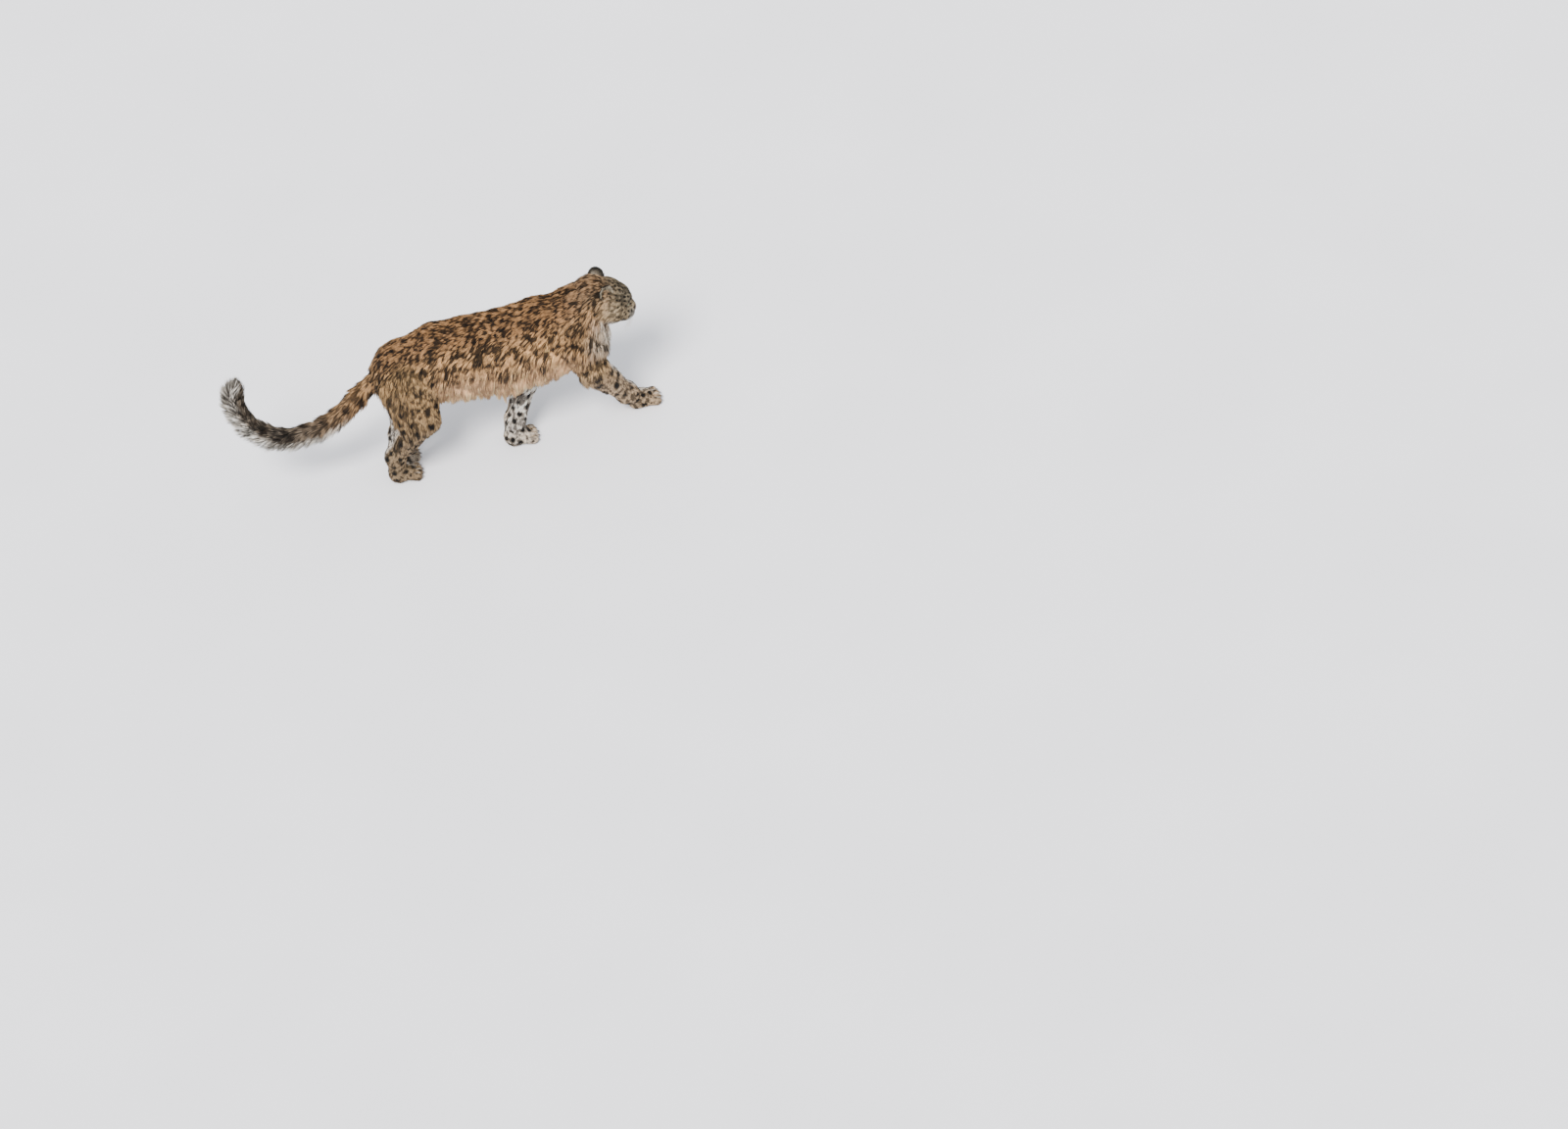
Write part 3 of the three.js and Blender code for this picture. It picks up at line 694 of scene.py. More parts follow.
def gradient(form: Field, points: Array) -> tuple[Array, Array]:
    """Finds the outward direction of a form.

    Args:
        form: The form.
        points: Where to find it.

    Returns:
        The unit directions, and how fast the distance grows along each.
    """
    step = 0.6
    corners = np.array([(1, -1, -1), (-1, -1, 1), (-1, 1, -1), (1, 1, 1)], float)
    slope = sum(corner * form(points + step * corner)[:, None] for corner in corners) / (4.0 * step)
    steepness = np.maximum(np.linalg.norm(slope, axis=1), 0.2)
    return slope / steepness[:, None], steepness


def along_skin(ways: Array, normals: Array) -> Array:
    """Lays directions flat on the skin."""
    return unit(ways - (ways * normals).sum(axis=1)[:, None] * normals)


@dataclass
class Growth:
    """How the hair grows at each of many roots.

    Attributes:
        way: Direction that the hair lies in.
        length: Length in millimetres.
        lift: Angle to the skin in degrees.
        width: Width of one tuft in millimetres.
        sag: How far the tip hangs, as a share of the length.
        depth: How far the coat's surface stands above the skin in millimetres.
    """

    way: Array
    length: Array
    lift: Array
    width: Array
    sag: Array
    depth: Array

    NUMBERS = ("length", "lift", "width", "sag", "depth")


def growth_of(way: Array, **numbers: Array | float) -> Growth:
    """Fills a growth with numbers that may be the same at each root."""
    shape = way.shape[:1]
    full = {name: np.broadcast_to(np.asarray(value, float), shape) for name, value in numbers.items()}
    return Growth(way, **full)


@dataclass
class Zone:
    """A part of the body with its own coat.

    Attributes:
        name: The zone's name.
        form: The flesh under it.
        grow: How hair grows on it, from places and outward directions.
        chart: Where each place lies on the zone's unwrap, as two numbers.
    """

    name: str
    form: Field
    grow: Callable[[Array, Array], Growth]
    chart: Field

    @property
    def part(self) -> str:
        """The kind of part, such as leg."""
        return self.name.split("_")[0]

    @property
    def ground(self) -> str:
        """The name of its ground colour: the part, with the side of a leg or paw."""
        first, *rest = self.name.split("_")
        return "_".join([first, *rest[-1:]])


class Animal:
    """The whole animal's flesh, with the coat that grows on each part of it."""

    HEAD_FROM = 740.0
    TAIL_TO = 230.0
    ZONE_BLEND = 12.0
    CHART_STEP = 700.0

    def __init__(self) -> None:
        """Builds the parts and lists their zones."""
        self.head = HeadForms()
        self.trunk = TrunkForms(self.head)
        self.tail = TailForm()
        self.legs = all_legs()
        self.keels = [Route(self.trunk.keel_edge(side.value, 0.0)) for side in Side]
        self.leg_flesh = {leg.name: leg.form() for leg in self.legs}
        self.toes = {leg.name: blend(2, leg.toe_forms()) for leg in self.legs}
        self.zones = [
            Zone("trunk", self.trunk.body, self.grow_trunk, self.chart_trunk),
            Zone("head", self.head.world, self.grow_head, self.chart_head),
            Zone("tail", self.tail_flesh, self.grow_tail, self.chart_tail),
            *[self._leg_zone(leg) for leg in self.legs],
            *[self._paw_zone(leg) for leg in self.legs],
        ]

    def _leg_zone(self, leg: LegForms) -> Zone:
        """Makes the zone of one leg."""
        return Zone(
            f"leg_{leg.name}", self.leg_flesh[leg.name],
            lambda points, normals: self.grow_leg(leg, points, normals),
            lambda points: self.chart_leg(leg, points),
        )

    def _paw_zone(self, leg: LegForms) -> Zone:
        """Makes the zone of one paw."""
        return Zone(
            f"paw_{leg.name}", leg.frame.carried(blend(3, [leg.pad_form(), self.toes[leg.name]])),
            lambda points, normals: self.grow_paw(leg, points, normals),
            lambda points: self.chart_leg(leg, points),
        )

    def tail_flesh(self, points: Array) -> Array:
        """Gives the distance to the tail's flesh."""
        shares, far = self.tail.route.nearest(points)
        tip = np.sqrt(np.maximum(1 - (np.maximum(shares - 0.95, 0) / 0.052) ** 2, 0.02))
        return far - TAIL_FLESH * (1.12 - 0.2 * shares) * tip

    def flesh(self, points: Array) -> Array:
        """Gives the distance to the flesh of the whole animal."""
        distance = self.trunk.body(points)
        x, y, z = points.T

        def join(near: Array, form: Field, softness: float) -> None:
            """Blends a form in where it is near."""
            distance[near] = smooth_min(distance[near], form(points[near]), softness)

        for leg in self.legs:
            middle = (leg.joints[0] + leg.joints[2]) / 2
            reach = abs(leg.joints[0][0] - leg.joints[2][0]) / 2 + 210
            near = (abs(x - middle[0]) < reach) & (y * np.sign(leg.joints[0][1]) > -110)
            join(near, self.leg_flesh[leg.name], 40 if leg.haunch else 28)
        join(x > self.HEAD_FROM, self.head.world, 26)
        join(x < self.TAIL_TO, self.tail_flesh, 34)
        for leg in self.legs:
            home = leg.frame.origin
            near = (z < 90) & (abs(x - home[0] - 30) < 110) & (abs(y - home[1]) < 90)
            join(near, leg.frame.carried(self.toes[leg.name]), 3)
        return -smooth_min(-distance, points[:, 2] - 2.0, 5)

    def ahead_of_collar(self, points: Array, start: float, end: float) -> Array:
        """Gives how far places near the skull lie ahead of the collar, from 0 at start to 1 at end."""
        own = self.head.frame.home(points)
        near = smooth_step(34, 18, self.head.world(points)) * smooth_step(-96, -70, own[:, 2])
        return smooth_step(start, end, own[:, 0]) * near

    # How the hair grows

    def grow_trunk(self, points: Array, normals: Array) -> Growth:
        """Lets the trunk's and neck's hair lie back and down, long under the belly and throat."""
        up = normals[:, 2]
        side = smooth_step(0.9, 0.1, up)
        under = smooth_step(0.05, -0.65, up)
        along = points[:, 0] / TRUNK_LENGTH
        front = smooth_step(0.84, 0.97, along)
        throat = front * smooth_step(0.45, -0.25, up)
        fall = 0.12 + 0.85 * side - 0.25 * under
        way = np.stack([-np.ones_like(up), 0.18 * normals[:, 1], -fall], axis=1)
        edge = np.minimum(*[route.nearest(points)[1] for route in self.keels])
        fringe = np.exp(-(((edge - 30.0) / 62.0) ** 2)) * smooth_step(0.42, -0.2, up) * (1 - front)
        way[:, 2] -= 1.6 * fringe
        rump = smooth_step(0.2, 0.08, along)
        length = 27 + 17 * side + 12 * under + 10 * front + 20 * throat + 10 * rump * side
        length = length + (FRINGE_DROP + 4 - length) * fringe
        lift = 17 + 2 * side + 8 * under + 2 * fringe + 7 * throat
        return growth_of(
            way, length=length, lift=lift, width=3.2 + 0.9 * fringe + 0.3 * side,
            sag=0.1 + 0.3 * under + 0.75 * fringe + 0.25 * throat, depth=8 + 4 * side + 2 * front,
        )

    def grow_head(self, points: Array, normals: Array) -> Growth:
        """Lets the head's hair lie away from the nose, short on the face and long on the cheeks."""
        own = self.head.frame.home(points)
        way = self.head.frame.way(own - point(128, 0, 2))
        way[:, 2] -= 20
        rear = smooth_step(104, -30, own[:, 0])
        low = smooth_step(26, -34, own[:, 2])
        cheek = rear * low * smooth_step(18, 46, np.abs(own[:, 1]))
        chin = smooth_step(-38, -62, own[:, 2]) * smooth_step(112, 60, own[:, 0])
        length = 5.0 + 8 * rear + 15 * cheek + 7 * chin + 8 * smooth_step(20, -50, own[:, 0])
        ear = point(-38, 58.5, 44)
        mirrored = np.stack([own[:, 0], np.abs(own[:, 1]), own[:, 2]], axis=1)
        beside = np.exp(-((np.linalg.norm(mirrored - ear, axis=1) / 34) ** 2))
        length = length * (1 - 0.5 * beside)
        return growth_of(
            way, length=length, lift=24 + 2 * rear + 4 * cheek, width=1.2 + 1.3 * rear,
            sag=0.05 + 0.1 * cheek, depth=1.0 + 4.2 * rear + 3.5 * cheek,
        )

    def grow_tail(self, points: Array, normals: Array) -> Growth:
        """Lets the tail's thick hair lie along it."""
        shares, _ = self.tail.route.nearest(points)
        way = self.tail.route.way(shares)
        rise = smooth_step(0.0, 0.2, shares)
        outer = self.tail_outer(points, normals)
        return growth_of(
            way, length=38 + 10 * rise + 12 * outer, lift=20 + 11 * rise + 6 * outer, width=3.6,
            sag=0.06, depth=10 - 8 * rise,
        )

    def tail_outer(self, points: Array, normals: Array) -> Array:
        """Gives how far places lie on the outer side of the tail's curl, from 0 to 1."""
        shares, _ = self.tail.route.nearest(points)
        outer = np.cross(self.tail.route.way(shares), point(0, 1, 0))
        return smooth_step(-0.3, 0.45, (normals * outer).sum(axis=1)) * smooth_step(0.24, 0.46, shares)

    def grow_leg(self, leg: LegForms, points: Array, normals: Array) -> Growth:
        """Lets a leg's hair lie down it, shorter towards the paw."""
        root, bend, ankle = leg.joints
        low = smooth_step(bend[2] + 40, ankle[2] - 10, points[:, 2])
        way = unit(bend - root) * (1 - low[:, None]) + unit(ankle - bend) * low[:, None]
        way = way + point(-0.35, 0, -0.5)
        behind = smooth_step(0.1, -0.75, normals[:, 0])
        shag = behind * smooth_step(ankle[2] + 20, bend[2] + 30, points[:, 2])
        shag = shag * (1.0 if leg.haunch else 0.55)
        length = 27 - 14 * low + 34 * shag
        return growth_of(
            way, length=length, lift=19 + 3 * low + 9 * shag, width=3.1 - 0.8 * low,
            sag=0.1 + 0.3 * shag, depth=8 - 4 * low + 3 * shag,
        )

    def grow_paw(self, leg: LegForms, points: Array, normals: Array) -> Growth:
        """Lets a paw's short hair lie towards the toes and down."""
        own = leg.frame.home(points)
        front = smooth_step(10, 80, own[:, 0])
        way = np.broadcast_to(leg.frame.way(point(1, 0, -0.5)), points.shape)
        return growth_of(way, length=10 - 2.5 * front, lift=22, width=2.1, sag=0.1, depth=3.0)

    def weights(self, points: Array) -> Array:
        """Gives each zone's share of the coat at each place, one row for each zone."""
        far = np.stack([zone.form(points) for zone in self.zones])
        shares = np.exp(-(far - far.min(axis=0)) / self.ZONE_BLEND)
        return shares / shares.sum(axis=0)

    def growth(self, points: Array, normals: Array) -> Growth:
        """Blends the zones' growths at each place.

        Args:
            points: Places on the skin.
            normals: The skin's outward directions there.

        Returns:
            The growth of the whole coat.
        """
        total = growth_of(np.zeros((len(points), 3)), **dict.fromkeys(Growth.NUMBERS, 0.0))
        for share, zone in zip(self.weights(points), self.zones):
            near = share > 0.01
            if not near.any():
                continue
            part = zone.grow(points[near], normals[near])
            total.way[near] += share[near, None] * unit(part.way)
            for name in Growth.NUMBERS:
                values = np.array(getattr(total, name))
                values[near] += share[near] * getattr(part, name)
                setattr(total, name, values)
        total.way = along_skin(total.way, normals)
        return total

    # Where a place lies on an unwrap

    def unwrap(self, points: Array) -> Array:
        """Lays places out on the unwraps of their zones, side by side."""
        zone_of = self.weights(points).argmax(axis=0)
        chart = np.zeros((len(points), 2))
        for index, zone in enumerate(self.zones):
            own = zone_of == index
            if own.any():
                chart[own] = zone.chart(points[own]) + np.array((0, index * self.CHART_STEP))
        return chart

    def chart_trunk(self, points: Array) -> Array:
        """Unrolls the trunk along its length and round its middle."""
        around = np.arctan2(points[:, 1], points[:, 2] - 0.77 * WITHERS_HEIGHT)
        return np.stack([points[:, 0], around * 150.0], axis=1)

    def chart_head(self, points: Array) -> Array:
        """Unrolls the head from nose to nape and round its middle."""
        own = self.head.frame.home(points)
        return np.stack([own[:, 0], np.arctan2(own[:, 1], own[:, 2]) * 60.0], axis=1)

    def chart_tail(self, points: Array) -> Array:
        """Unrolls the tail along its length and round its middle."""
        shares, _ = self.tail.route.nearest(points)
        off = points - self.tail.route.at(shares)
        level = np.cross(self.tail.route.way(shares), point(0, 1, 0))
        return np.stack([shares * 1100.0, np.arctan2(off[:, 1], (off * level).sum(1)) * 25.0], axis=1)

    def chart_leg(self, leg: LegForms, points: Array) -> Array:
        """Unrolls a leg from top to toe and round its middle."""
        line = Route([*leg.joints, leg.paw_top, leg.frame.out(point(40, 0, 20))])
        shares, _ = line.nearest(points)
        off = points - line.at(shares)
        return np.stack([shares * line.lengths[-1], np.arctan2(off[:, 1], off[:, 0]) * 50.0], axis=1)


# Making meshes


@dataclass
class Bench:
    """Where pieces are made: it turns the animal's millimetres into the model's metres.

    Attributes:
        shift: Millimetres from the animal's frame to the model's.
    """

    shift: Array

    def metres(self, points: Array) -> Array:
        """Carries millimetres in the animal's frame into the model's metres."""
        return (points + self.shift) * MM

    def own(self, corners: Array) -> Array:
        """Carries the model's metres into millimetres in the animal's frame."""
        return corners / MM - self.shift


def deselect() -> None:
    """Clears the selection, which the loaded frame leaves full."""
    bpy.ops.object.select_all(action="DESELECT")


def pick(*pieces: Piece) -> None:
    """Selects pieces alone, the first of them as the active one."""
    deselect()
    for piece in pieces:
        piece.select_set(True)
    bpy.context.view_layer.objects.active = pieces[0]


def corners_of(piece: Piece) -> Array:
    """Reads a mesh's vertices."""
    flat = np.zeros(len(piece.data.vertices) * 3)
    piece.data.vertices.foreach_get("co", flat)
    return flat.reshape(-1, 3)


def move_corners(piece: Piece, corners: Array) -> None:
    """Writes a mesh's vertices."""
    piece.data.vertices.foreach_set("co", np.asarray(corners, float).ravel())
    piece.data.update()


def normals_of(piece: Piece) -> Array:
    """Reads the outward direction at each vertex."""
    flat = np.zeros(len(piece.data.vertices) * 3)
    piece.data.vertex_normals.foreach_get("vector", flat)
    return flat.reshape(-1, 3)


def triangles_of(piece: Piece) -> Array:
    """Reads a mesh's triangles as rows of three vertices."""
    piece.data.calc_loop_triangles()
    flat = np.zeros(len(piece.data.loop_triangles) * 3, int)
    piece.data.loop_triangles.foreach_get("vertices", flat)
    return flat.reshape(-1, 3)


def finish_modifiers(piece: Piece) -> None:
    """Applies a piece's modifiers in order."""
    pick(piece)
    for modifier in list(piece.modifiers):
        bpy.ops.object.modifier_apply(modifier=modifier.name)


def smooth_shaded(piece: Piece) -> Piece:
    """Shades a piece smoothly."""
    piece.data.polygons.foreach_set("use_smooth", [True] * len(piece.data.polygons))
    piece.data.update()
    return piece


def outward(piece: Piece) -> None:
    """Merges doubles and turns all faces outwards."""
    pick(piece)
    bpy.ops.object.mode_set(mode="EDIT")
    bpy.ops.mesh.select_all(action="SELECT")
    bpy.ops.mesh.remove_doubles(threshold=1e-6)
    bpy.ops.mesh.normals_make_consistent(inside=False)
    bpy.ops.object.mode_set(mode="OBJECT")


def joined(pieces: Sequence[Piece], name: str) -> Piece:
    """Joins pieces into one and names it."""
    pick(*pieces)
    bpy.ops.object.join()
    pieces[0].name = pieces[0].data.name = name
    return pieces[0]


def ball_at(segments: int = 24, rings: int = 14) -> tuple[Piece, Array]:
    """Adds a ball of radius 1 to shape, and gives its vertices."""
    deselect()
    bpy.ops.mesh.primitive_uv_sphere_add(segments=segments, ring_count=rings, radius=1.0)
    ball = bpy.context.object
    return ball, corners_of(ball)


def limb_ball(bench: Bench, limb: Limb, frame: Placement | None) -> Piece:
    """Stretches a ball over a limb.

    Args:
        bench: Where pieces are made.
        limb: The limb.
        frame: The placement whose frame the limb is given in, if any.

    Returns:
        The new object.
    """
    ball, unit_ball = ball_at()
    axis = Vector(limb.end - limb.start + point(0, 0, 1e-4))
    spun = unit_ball @ np.array(axis.to_track_quat("Z", "Y").to_matrix()).T
    ahead = unit_ball[:, 2] >= 0
    radius = np.where(ahead, limb.end_radius, limb.start_radius)[:, None]
    shape = spun * radius * np.array((1.0, limb.width, 1.0))
    shape = shape + np.where(ahead[:, None], limb.end, limb.start)
    if frame is not None:
        shape = frame.out(shape)
    move_corners(ball, bench.metres(shape))
    return ball


def settle(bench: Bench, piece: Piece, form: Field, steps: int = 3) -> None:
    """Moves a mesh's vertices onto a form."""
    points = bench.own(corners_of(piece))
    for _ in range(steps):
        out, steepness = gradient(form, points)
        points = points - out * np.clip(form(points) / steepness, -12, 12)[:, None]
    move_corners(piece, bench.metres(points))


def sculpt(
    bench: Bench, name: str, limbs: Sequence[tuple[Limb, Placement | None]], form: Field, voxel: float,
) -> Piece:
    """Models one closed surface: balls over each limb, fused, then moved onto the form.

    Args:
        bench: Where pieces are made.
        name: The piece's name.
        limbs: The limbs, each with the placement that its frame belongs to.
        form: The form that the surface ends on.
        voxel: Size of the faces in millimetres.

    Returns:
        The finished mesh.
    """
    piece = joined([limb_ball(bench, limb, frame) for limb, frame in limbs], name)
    fuse = piece.modifiers.new("fuse", "REMESH")
    fuse.mode = "VOXEL"
    fuse.voxel_size = voxel * MM
    fuse.use_smooth_shade = True
    ease = piece.modifiers.new("ease", "SMOOTH")
    ease.iterations = 2
    finish_modifiers(piece)
    settle(bench, piece, form)
    return smooth_shaded(piece)


def paint_corners(piece: Piece, name: str, colours: Array) -> None:
    """Stores a colour at each vertex."""
    layer = piece.data.attributes.new(name, "FLOAT_COLOR", "POINT")
    full = np.concatenate([colours, np.ones((len(colours), 1))], axis=1)
    layer.data.foreach_set("color", full.astype(np.float32).ravel())


def mark_corners(piece: Piece, name: str, values: Array) -> None:
    """Stores a number at each vertex."""
    layer = piece.data.attributes.new(name, "FLOAT", "POINT")
    layer.data.foreach_set("value", np.asarray(values, np.float32))


# Markings


@dataclass(frozen=True)
class SpotKind:
    """One kind of spot.

    Attributes:
        spacing: Distance between spots in millimetres.
        radius: From a spot's middle to the middle of its rim.
        rim: Width of the dark rim, or of the whole spot where it is solid.
        open: 1 for a broken ring, 0 for a solid spot.
        strength: How much of the dark colour shows.
    """

    spacing: float
    radius: float
    rim: float
    open: float
    strength: float


class Spots(Enum):
    """The kinds of spots on the coat."""

    FLANK = SpotKind(56, 18, 12, 1.0, 0.8)
    SHOULDER = SpotKind(44, 13, 12, 0.8, 0.88)
    SPINE = SpotKind(40, 10, 13, 0.3, 0.85)
    BELLY = SpotKind(62, 12, 14, 0.2, 0.45)
    NECK = SpotKind(31, 6, 9, 0.0, 0.88)
    LEG = SpotKind(43, 14, 12, 0.0, 0.97)
    SHIN = SpotKind(31, 9.5, 10, 0.0, 0.98)
    PAW = SpotKind(21, 4.0, 6, 0.0, 0.88)
    CROWN = SpotKind(16, 4.2, 4.6, 0.0, 0.96)
    CHEEK = SpotKind(19, 4.2, 5.0, 0.0, 0.95)
    TAIL = SpotKind(46, 15, 18, 0.5, 0.96)


class Markings:
    """The coat's ground colours, rosettes and spots, the same for skin and hair.

    LINES gives the dark lines of the left side of the face, as start, end and width in the head's frame.
    LINES_BY_EYE gives those that are measured from the left eye.
    """

    DARK = {"body": linear(27, 18, 12), "limb": linear(12, 10, 9)}
    TRUNK = {
        "flank": linear(203, 159, 110), "back": linear(146, 109, 73), "under": linear(234, 188, 142),
        "shoulder": linear(131, 105, 80), "chest": linear(220, 207, 190),
    }
    LEG = {
        "upper": linear(163, 132, 92), "front": linear(182, 157, 127), "hind": linear(148, 126, 98),
        "inner": linear(234, 222, 207),
    }
    TAIL = {"root": linear(162, 126, 87), "end": linear(108, 98, 86), "outer": linear(228, 222, 212)}
    # The muzzle's grey is partly its own colour and partly painted shade of a front turned from the light.
    HEAD = {
        "face": linear(170, 151, 122), "crown": linear(120, 109, 90), "muzzle": linear(128, 128, 125),
        "chin": linear(206, 197, 184), "round_eye": linear(226, 217, 203),
    }
    TRIED = 14000
    LINES = (
        ((44, 14, 60), (8, 20, 78), 3.0), ((38, 32, 52), (4, 40, 64), 3.0), ((28, 4, 66), (-10, 5, 82), 2.6),
        ((20, 62, -6), (-16, 76, -8), 3.4), ((30, 58, -30), (-4, 74, -34), 3.2),
        ((78, 40, -20), (52, 56, -34), 3.0),
        *[((118 - 2 * k, 22, -19 - 6 * k), (88, 44, -21 - 7 * k), 1.3) for k in range(4)],
    )
    LINES_BY_EYE = (
        ((12, -11, -6), (30, -14, -17), 3.2), ((-8, 18, 3), (-30, 27, 4), 3.4),
        ((16, -12, -3), (-16, 12, 3), 4.6),
    )

    def __init__(self, animal: Animal, points: Array, normals: Array) -> None:
        """Scatters the spots over the skin.

        Args:
            animal: The animal.
            points: Places on its skin.
            normals: The skin's outward directions there.
        """
        self.animal = animal
        rng = np.random.default_rng(2207)
        chosen = rng.permutation(len(points))[: self.TRIED]
        points, normals = points[chosen], normals[chosen]
        kinds = self._kinds(points, normals)
        spacing = self._of_kinds("spacing", kinds)
        kept: list[int] = []
        places = np.zeros((0, 3))
        for i in range(len(points)):
            apart = 0.46 * (spacing[i] + spacing[kept]) if kept else np.zeros(0)
            if kept and (np.linalg.norm(places - points[i], axis=1) < apart).any():
                continue
            kept.append(i)
            places = points[kept]
        self.places = places
        self.phase = rng.uniform(0, 2 * math.pi, (len(kept), 4))
        self.radius = self._of_kinds("radius", kinds[kept]) * rng.uniform(0.8, 1.2, len(kept))
        self.stretch = rng.uniform(0.75, 1.3, len(kept))
        self.rim = self._of_kinds("rim", kinds[kept])
        self.open = self._of_kinds("open", kinds[kept]) > 0.5
        self.strength = self._of_kinds("strength", kinds[kept])

    @staticmethod
    def _of_kinds(name: str, kinds: Array) -> Array:
        """Reads one number of each spot's kind."""
        return np.array([getattr(kind.value, name) for kind in Spots])[kinds]

    def _kinds(self, points: Array, normals: Array) -> Array:
        """Chooses the kind of spot that fits each place."""
        zone = self.animal.weights(points).argmax(axis=0)
        order = list(Spots)
        along = points[:, 0] / TRUNK_LENGTH
        up = points[:, 2] / WITHERS_HEIGHT
        own = self.animal.head.frame.home(points)
        kinds = np.full(len(points), order.index(Spots.FLANK))

        def choose(test: Array, kind: Spots) -> None:
            """Sets a kind where a test holds."""
            kinds[test] = order.index(kind)

        part = np.array([item.part for item in self.animal.zones])[zone]
        choose((part == "trunk") & ((along > 0.74) | (along < 0.22)), Spots.SHOULDER)
        choose((part == "trunk") & (np.abs(points[:, 1]) < 26) & (normals[:, 2] > 0.7), Spots.SPINE)
        choose((part == "trunk") & (normals[:, 2] < -0.15), Spots.BELLY)
        choose((part == "trunk") & (along > 0.94) & (normals[:, 2] > -0.1), Spots.NECK)
        choose((part == "leg") & (up > 0.62), Spots.SHOULDER)
        choose((part == "leg") & (up <= 0.62), Spots.LEG)
        choose((part == "leg") & (up < 0.34), Spots.SHIN)
        choose(part == "paw", Spots.PAW)
        choose(part == "tail", Spots.TAIL)
        choose(part == "head", Spots.CHEEK)
        choose((part == "head") & (own[:, 2] > 26), Spots.CROWN)
        return kinds

    def ground(self, points: Array, normals: Array) -> Array:
        """Gives the coat's colour between the spots."""
        grounds = {
            "trunk": self._trunk_ground(points, normals), "head": self._head_ground(points),
            "tail": self._tail_ground(points, normals), **self._leg_grounds(points, normals),
        }
        total = np.zeros((len(points), 3))
        for share, zone in zip(self.animal.weights(points), self.animal.zones):
            total += share[:, None] * grounds[zone.ground]
        return total

    def _trunk_ground(self, points: Array, normals: Array) -> Array:
        """Gives the trunk's colour: warm on the flank, dull on the back and pale on the chest."""
        ink = self.TRUNK
        patch = 0.5 + 0.5 * wobble(points, 70, 5)
        front = smooth_step(0.8, 1.0, points[:, 0] / TRUNK_LENGTH)
        chest = smooth_step(0.2, 0.8, normals[:, 0]) * smooth_step(1.0, 0.82, points[:, 2] / WITHERS_HEIGHT)
        trunk = mixed(ink["flank"], ink["back"], smooth_step(0.3, 0.8, normals[:, 2]))
        trunk = trunk * (1 - 0.28 * patch)[:, None]
        trunk = mixed(trunk, ink["under"], smooth_step(0.2, -0.4, normals[:, 2]))
        trunk = mixed(trunk, ink["shoulder"], 0.5 * front)
        return mixed(trunk, ink["chest"], 0.85 * chest * front)

    def _leg_grounds(self, points: Array, normals: Array) -> dict[str, Array]:
        """Gives the colours of the legs and paws of each side, pale on their inner sides."""
        ink = self.LEG
        low = mixed(ink["front"], ink["hind"], smooth_step(0.4, 0.2, points[:, 0] / TRUNK_LENGTH))
        leg = mixed(ink["upper"], low, smooth_step(0.62, 0.3, points[:, 2] / WITHERS_HEIGHT))
        grounds = {}
        for side in Side:
            inner = smooth_step(-0.3, 0.3, -side.value * normals[:, 1])
            grounds[f"leg_{side.word}"] = mixed(leg, ink["inner"], inner)
            grounds[f"paw_{side.word}"] = mixed(leg, ink["inner"], 0.35 * inner)
        return grounds

    def _tail_ground(self, points: Array, normals: Array) -> Array:
        """Gives the tail's colour, pale on the outer side of its curl."""
        shares, _ = self.animal.tail.route.nearest(points)
        tail = mixed(self.TAIL["root"], self.TAIL["end"], smooth_step(0.15, 0.6, shares))
        outer = self.animal.tail_outer(points, normals) * (1 - 0.4 * smooth_step(0.82, 0.95, shares))
        return mixed(tail, self.TAIL["outer"], outer)

    def _head_ground(self, points: Array) -> Array:
        """Gives the head's colour between its spots, with a grey muzzle that is partly painted shade."""
        ink = self.HEAD
        own = self.animal.head.frame.home(points)
        # Painted shade: the muzzle's grey is partly its own colour and partly shade of a face turned from the
        # light.
        muzzle = smooth_step(84, 100, own[:, 0]) * smooth_step(4, -14, own[:, 2])
        base = mixed(ink["face"], ink["crown"], smooth_step(8, 40, own[:, 2]))
        base = mixed(base, ink["muzzle"], 0.7 * muzzle)
        base = mixed(base, ink["chin"], smooth_step(-40, -58, own[:, 2]))
        own[:, 1] = np.abs(own[:, 1])
        x, y, z = (own - self.animal.head.eye(1)).T
        for lift in (17, -17):
            spot = np.exp(-(((x + 4) / 14) ** 2 + (y / 12) ** 2 + ((z - lift) / 8) ** 2))
            base = mixed(base, ink["round_eye"], 0.7 * spot)
        return base

    def _face_marks(self, points: Array) -> Array:
        """Gives the dark lines of the face: from eye to nose, brow stripes and whisker rows."""
        own = self.animal.head.frame.home(points)
        own[:, 1] = np.abs(own[:, 1])
        eye = self.animal.head.eye(1)
        lines = [(eye + point(*start), eye + point(*end), width) for start, end, width in self.LINES_BY_EYE]
        lines += [(point(*start), point(*end), width) for start, end, width in self.LINES]
        broken = 0.75 + 0.5 * wobble(points, 9, 57)
        dark = np.zeros(len(points))
        for start, end, width in lines:
            far = Limb(start, 0.0, end, 0.0)(own)
            dark = np.maximum(dark, np.clip(np.exp(-((far / (width * 2.2)) ** 2)) * broken, 0, 0.97))
        return dark

    def _tail_bands(self, points: Array) -> Array:
        """Gives the dark broken rings of the tail's end."""
        shares, _ = self.animal.tail.route.nearest(points)
        bands = 0.5 + 0.5 * np.sin(shares * 2 * np.pi * 17 + 1.2 * wobble(points, 30, 44))
        broken = np.clip(0.75 + 0.5 * wobble(points, 13, 45), 0, 1)
        there = smooth_step(0.3, 0.6, shares) * (points[:, 0] < 0)
        return 0.95 * smooth_step(0.4, 0.75, bands) * broken * there

